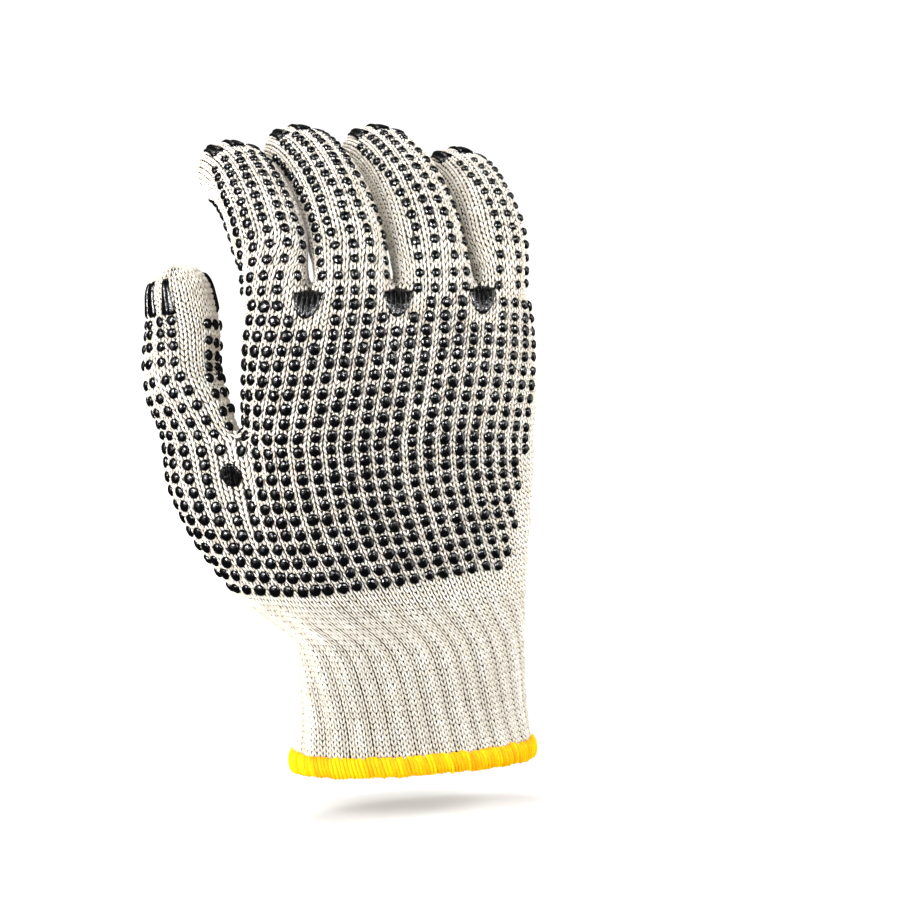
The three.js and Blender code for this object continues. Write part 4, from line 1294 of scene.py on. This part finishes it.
def make_fork_patches(nets, material):
    """Half-moon patches at the fingers and oval ones at the thumb, with upright strands."""
    for name, tube, column, top in fork_places(nets):
        thumb = name.startswith("thumb")
        foot, head, half = THUMB_PATCH if thumb else FINGER_PATCH
        down = np.linspace(foot, head, 15)
        depth = (down - head) / (foot - head)
        curve = 1 - (2 * depth - 1) ** 2 if thumb else 1 - depth ** 1.8
        halves = half * np.sqrt(np.clip(curve, 0.03, 1))
        sizes = (PATCH_HEIGHT, PATCH_STRANDS, PATCH_CELLS)
        piece = pad_mesh(name, nets[tube], top - down, halves, column, *sizes)
        finish_piece(piece, material, "grip_print", name)


def make_tip_bars(nets, material):
    """Tapering bars of print on both sides of every tip."""
    down = np.linspace(BAR_FOOT, BAR_TOP, 14)
    ends = np.clip(np.minimum(BAR_FOOT - down, down - BAR_TOP) / 0.5, 0, 1)
    halves = 0.55 + 0.45 * (down - BAR_TOP) / (BAR_FOOT - BAR_TOP)
    halves *= 0.7 + 0.3 * ends ** 0.5
    sizes = (BAR_HEIGHT, BAR_STRANDS, BAR_CELLS)
    digits = [(row[0], row[1], row[6]) for row in FINGERS] + [("thumb", THUMB_WALES, THUMB_BARS)]
    for digit, wales, bars in digits:
        net = nets[digit]
        rows = net.rows - 1 - down
        for i, wale in enumerate(bars, 1):
            for label, column in (("back", wale), ("palm", wales + STRIP + wale)):
                name = f"{digit}_tip_bar_{label}_{i}"
                piece = pad_mesh(name, net, rows, halves, column, *sizes)
                finish_piece(piece, material, "grip_print", name)


def ahead_and_out(ring):
    """Directions along a closed level outline and out of it, at each of its points."""
    ahead = unit(np.roll(ring, -1, 0) - np.roll(ring, 1, 0))
    return ahead, np.stack([ahead[:, 1], -ahead[:, 0]], 1)


def hem_core(middle, wave, material):
    """Plain ring under the turns of yarn."""
    _, out = ahead_and_out(middle)
    thick, tall = HEM_CORE
    level = HEM_HEIGHT / 2 + HEM_RISE + wave * 0.6
    points = []
    for angle in np.linspace(0, 2 * np.pi, HEM_SIDES + 1)[:-1]:
        flat = middle + out * (thick * math.cos(angle) - HEM_INSET)
        points.append(np.column_stack([flat, level + tall * math.sin(angle)]))
    here = np.arange(HEM_SIDES * HEM_POINTS).reshape(HEM_SIDES, HEM_POINTS)
    next_side = np.roll(here, -1, 0)
    faces = np.stack([here, np.roll(here, -1, 1), np.roll(next_side, -1, 1), next_side], -1)
    core = new_mesh("hem_core", np.concatenate(points), faces.reshape(-1, 4).tolist())
    add_attribute(core, "tone", "FLOAT", np.zeros(len(core.data.vertices)))
    finish_piece(core, material, "hem_yarn", "hem")


def wrap_shape(tree):
    """One slanted oval turn of yarn."""
    thick, tall = (tree.size(name, size * MM)
                   for name, size in zip(("Half thickness", "Half height"), WRAP_HALF))
    yarn, slant = tree.size("Yarn radius", WRAP_YARN * MM), tree.size("Slant", WRAP_SLANT)
    turn = tree.node("GeometryNodeCurvePrimitiveCircle", {}, {"Resolution": 14, "Radius": 1.0})
    scale = tree.node("ShaderNodeCombineXYZ", {}, {0: tall, 1: thick, 2: 1.0})
    lean = tree.node("ShaderNodeCombineXYZ", {}, {1: slant})
    upright = (0.0, math.radians(90.0), 0.0)
    for change in ({"Scale": scale}, {"Rotation": upright}, {"Rotation": lean}):
        turn = tree.node("GeometryNodeTransform", {}, {"Geometry": turn, **change})
    ring = tree.node("GeometryNodeCurvePrimitiveCircle", {}, {"Resolution": 5, "Radius": yarn})
    sockets = {"Curve": turn, "Profile Curve": ring, "Scale": 1.0}
    return tree.node("GeometryNodeCurveToMesh", {}, sockets)


def hem_wraps(middle, wave, material):
    """Turns of yarn side by side round the core."""
    closed = np.concatenate([middle, middle[:1]])
    count = int(run_of(closed)[-1] / WRAP_PITCH)
    share = np.linspace(0, 1, count + 1)[:-1]
    ring = at_shares(closed, share)
    ahead, out = ahead_and_out(ring)
    x = np.column_stack([ahead, np.zeros(count)])
    y = np.column_stack([-out, np.zeros(count)])
    z = np.tile([0.0, 0.0, 1.0], (count, 1))
    wave = np.interp(share * HEM_POINTS, np.arange(HEM_POINTS), wave)
    centre = np.column_stack([ring - out * HEM_INSET, HEM_HEIGHT / 2 + HEM_RISE + wave])
    chance = np.random.default_rng(7)
    centre[:, 2] += chance.normal(0.0, 0.16, count)
    sizes = np.stack([chance.normal(1.0, spread, count) for spread in (0.06, 0.04, 0.035)], 1)
    piece = spots("hem_wraps", centre, x, y, z, sizes / MM, chance.random(count))
    tree = Grower("overlock_turns")
    tree.grow(piece, wrap_shape(tree), material)
    finish_piece(piece, material, "hem_yarn")


def make_hem(material):
    """Overlocked wrist edge: a core ring and slanted turns of yarn round it."""
    shares = np.linspace(0, 1, HEM_POINTS + 1)[:-1]
    middle = at_shares(whole_outline(HEM_HEIGHT / 2), shares)
    steps = np.arange(HEM_POINTS)
    wave = 0.12 * np.sin(steps * 0.55) + 0.1 * np.sin(steps * 0.21 + 1)
    hem_core(middle, wave, material)
    hem_wraps(middle, wave, material)


def clear_of_patches(nets, found):
    """Leaves out the dots that would touch a fork patch."""
    centres, limits = [], []
    for name, tube, column, top in fork_places(nets):
        for up, aside, limit in THUMB_PATCH_ROOM.get(name, FINGER_PATCH_ROOM):
            centres.append(nets[tube].spot(top + up, column + aside)[0])
            limits.append(limit)
    centres, limits = np.array(centres), np.array(limits)
    kept = []
    for tube, row, wale in found:
        point, _ = nets[tube].spot(row, wale)
        if (np.linalg.norm(centres - point, axis=1) > limits).all():
            kept.append((tube, row, wale))
    return kept


def build_glove():
    """All pieces of the glove with their materials."""
    skin = weave_glove()
    faces = skin_faces(skin)
    normals = skin_normals(skin, faces)
    nets = {name: Net(skin, normals, name) for name in skin.tubes}

    cream = knitted_cotton("cotton_knit", colour(246, 242, 235), colour(217, 206, 189))
    pale = knitted_cotton("cuff_knit", colour(246, 243, 238), colour(206, 198, 184))
    ground = ground_and_painted_shade()
    black = grip_print()
    yellow = hem_yarn()

    make_cloth(skin, faces, normals, ground)
    last = nets["lower"].rows - 1
    cuff_end = round(CUFF_TOP / THUMB_FORK * last)
    make_stitches("cuff_loops", nets["lower"], (3, cuff_end), pale, "cuff_knit", 11, CUFF_YARN, True)
    make_stitches("lower_hand_loops", nets["lower"], (cuff_end, last), cream, "cotton_knit", 12)
    last = nets["upper"].rows - 1
    make_stitches("upper_hand_loops", nets["upper"], (0, last), cream, "cotton_knit", 13)
    for place, name in enumerate(DIGITS):
        rows = (0, nets[name].rows - 1)
        make_stitches(f"{name}_loops", nets[name], rows, cream, "cotton_knit", 14 + place)

    for name, palm, seed in (("hand_dots_back", False, 21), ("hand_dots_palm", True, 22)):
        found = clear_of_patches(nets, hand_dots(nets, palm))
        set_dots(name, nets, found, HAND_DOT, black, seed)
    set_dots("digit_dots", nets, clear_of_patches(nets, digit_dots(nets)), DIGIT_DOT, black, 23)
    make_fork_patches(nets, black)
    make_tip_bars(nets, black)
    make_hem(yellow)


place_camera()
light_studio()
build_glove()
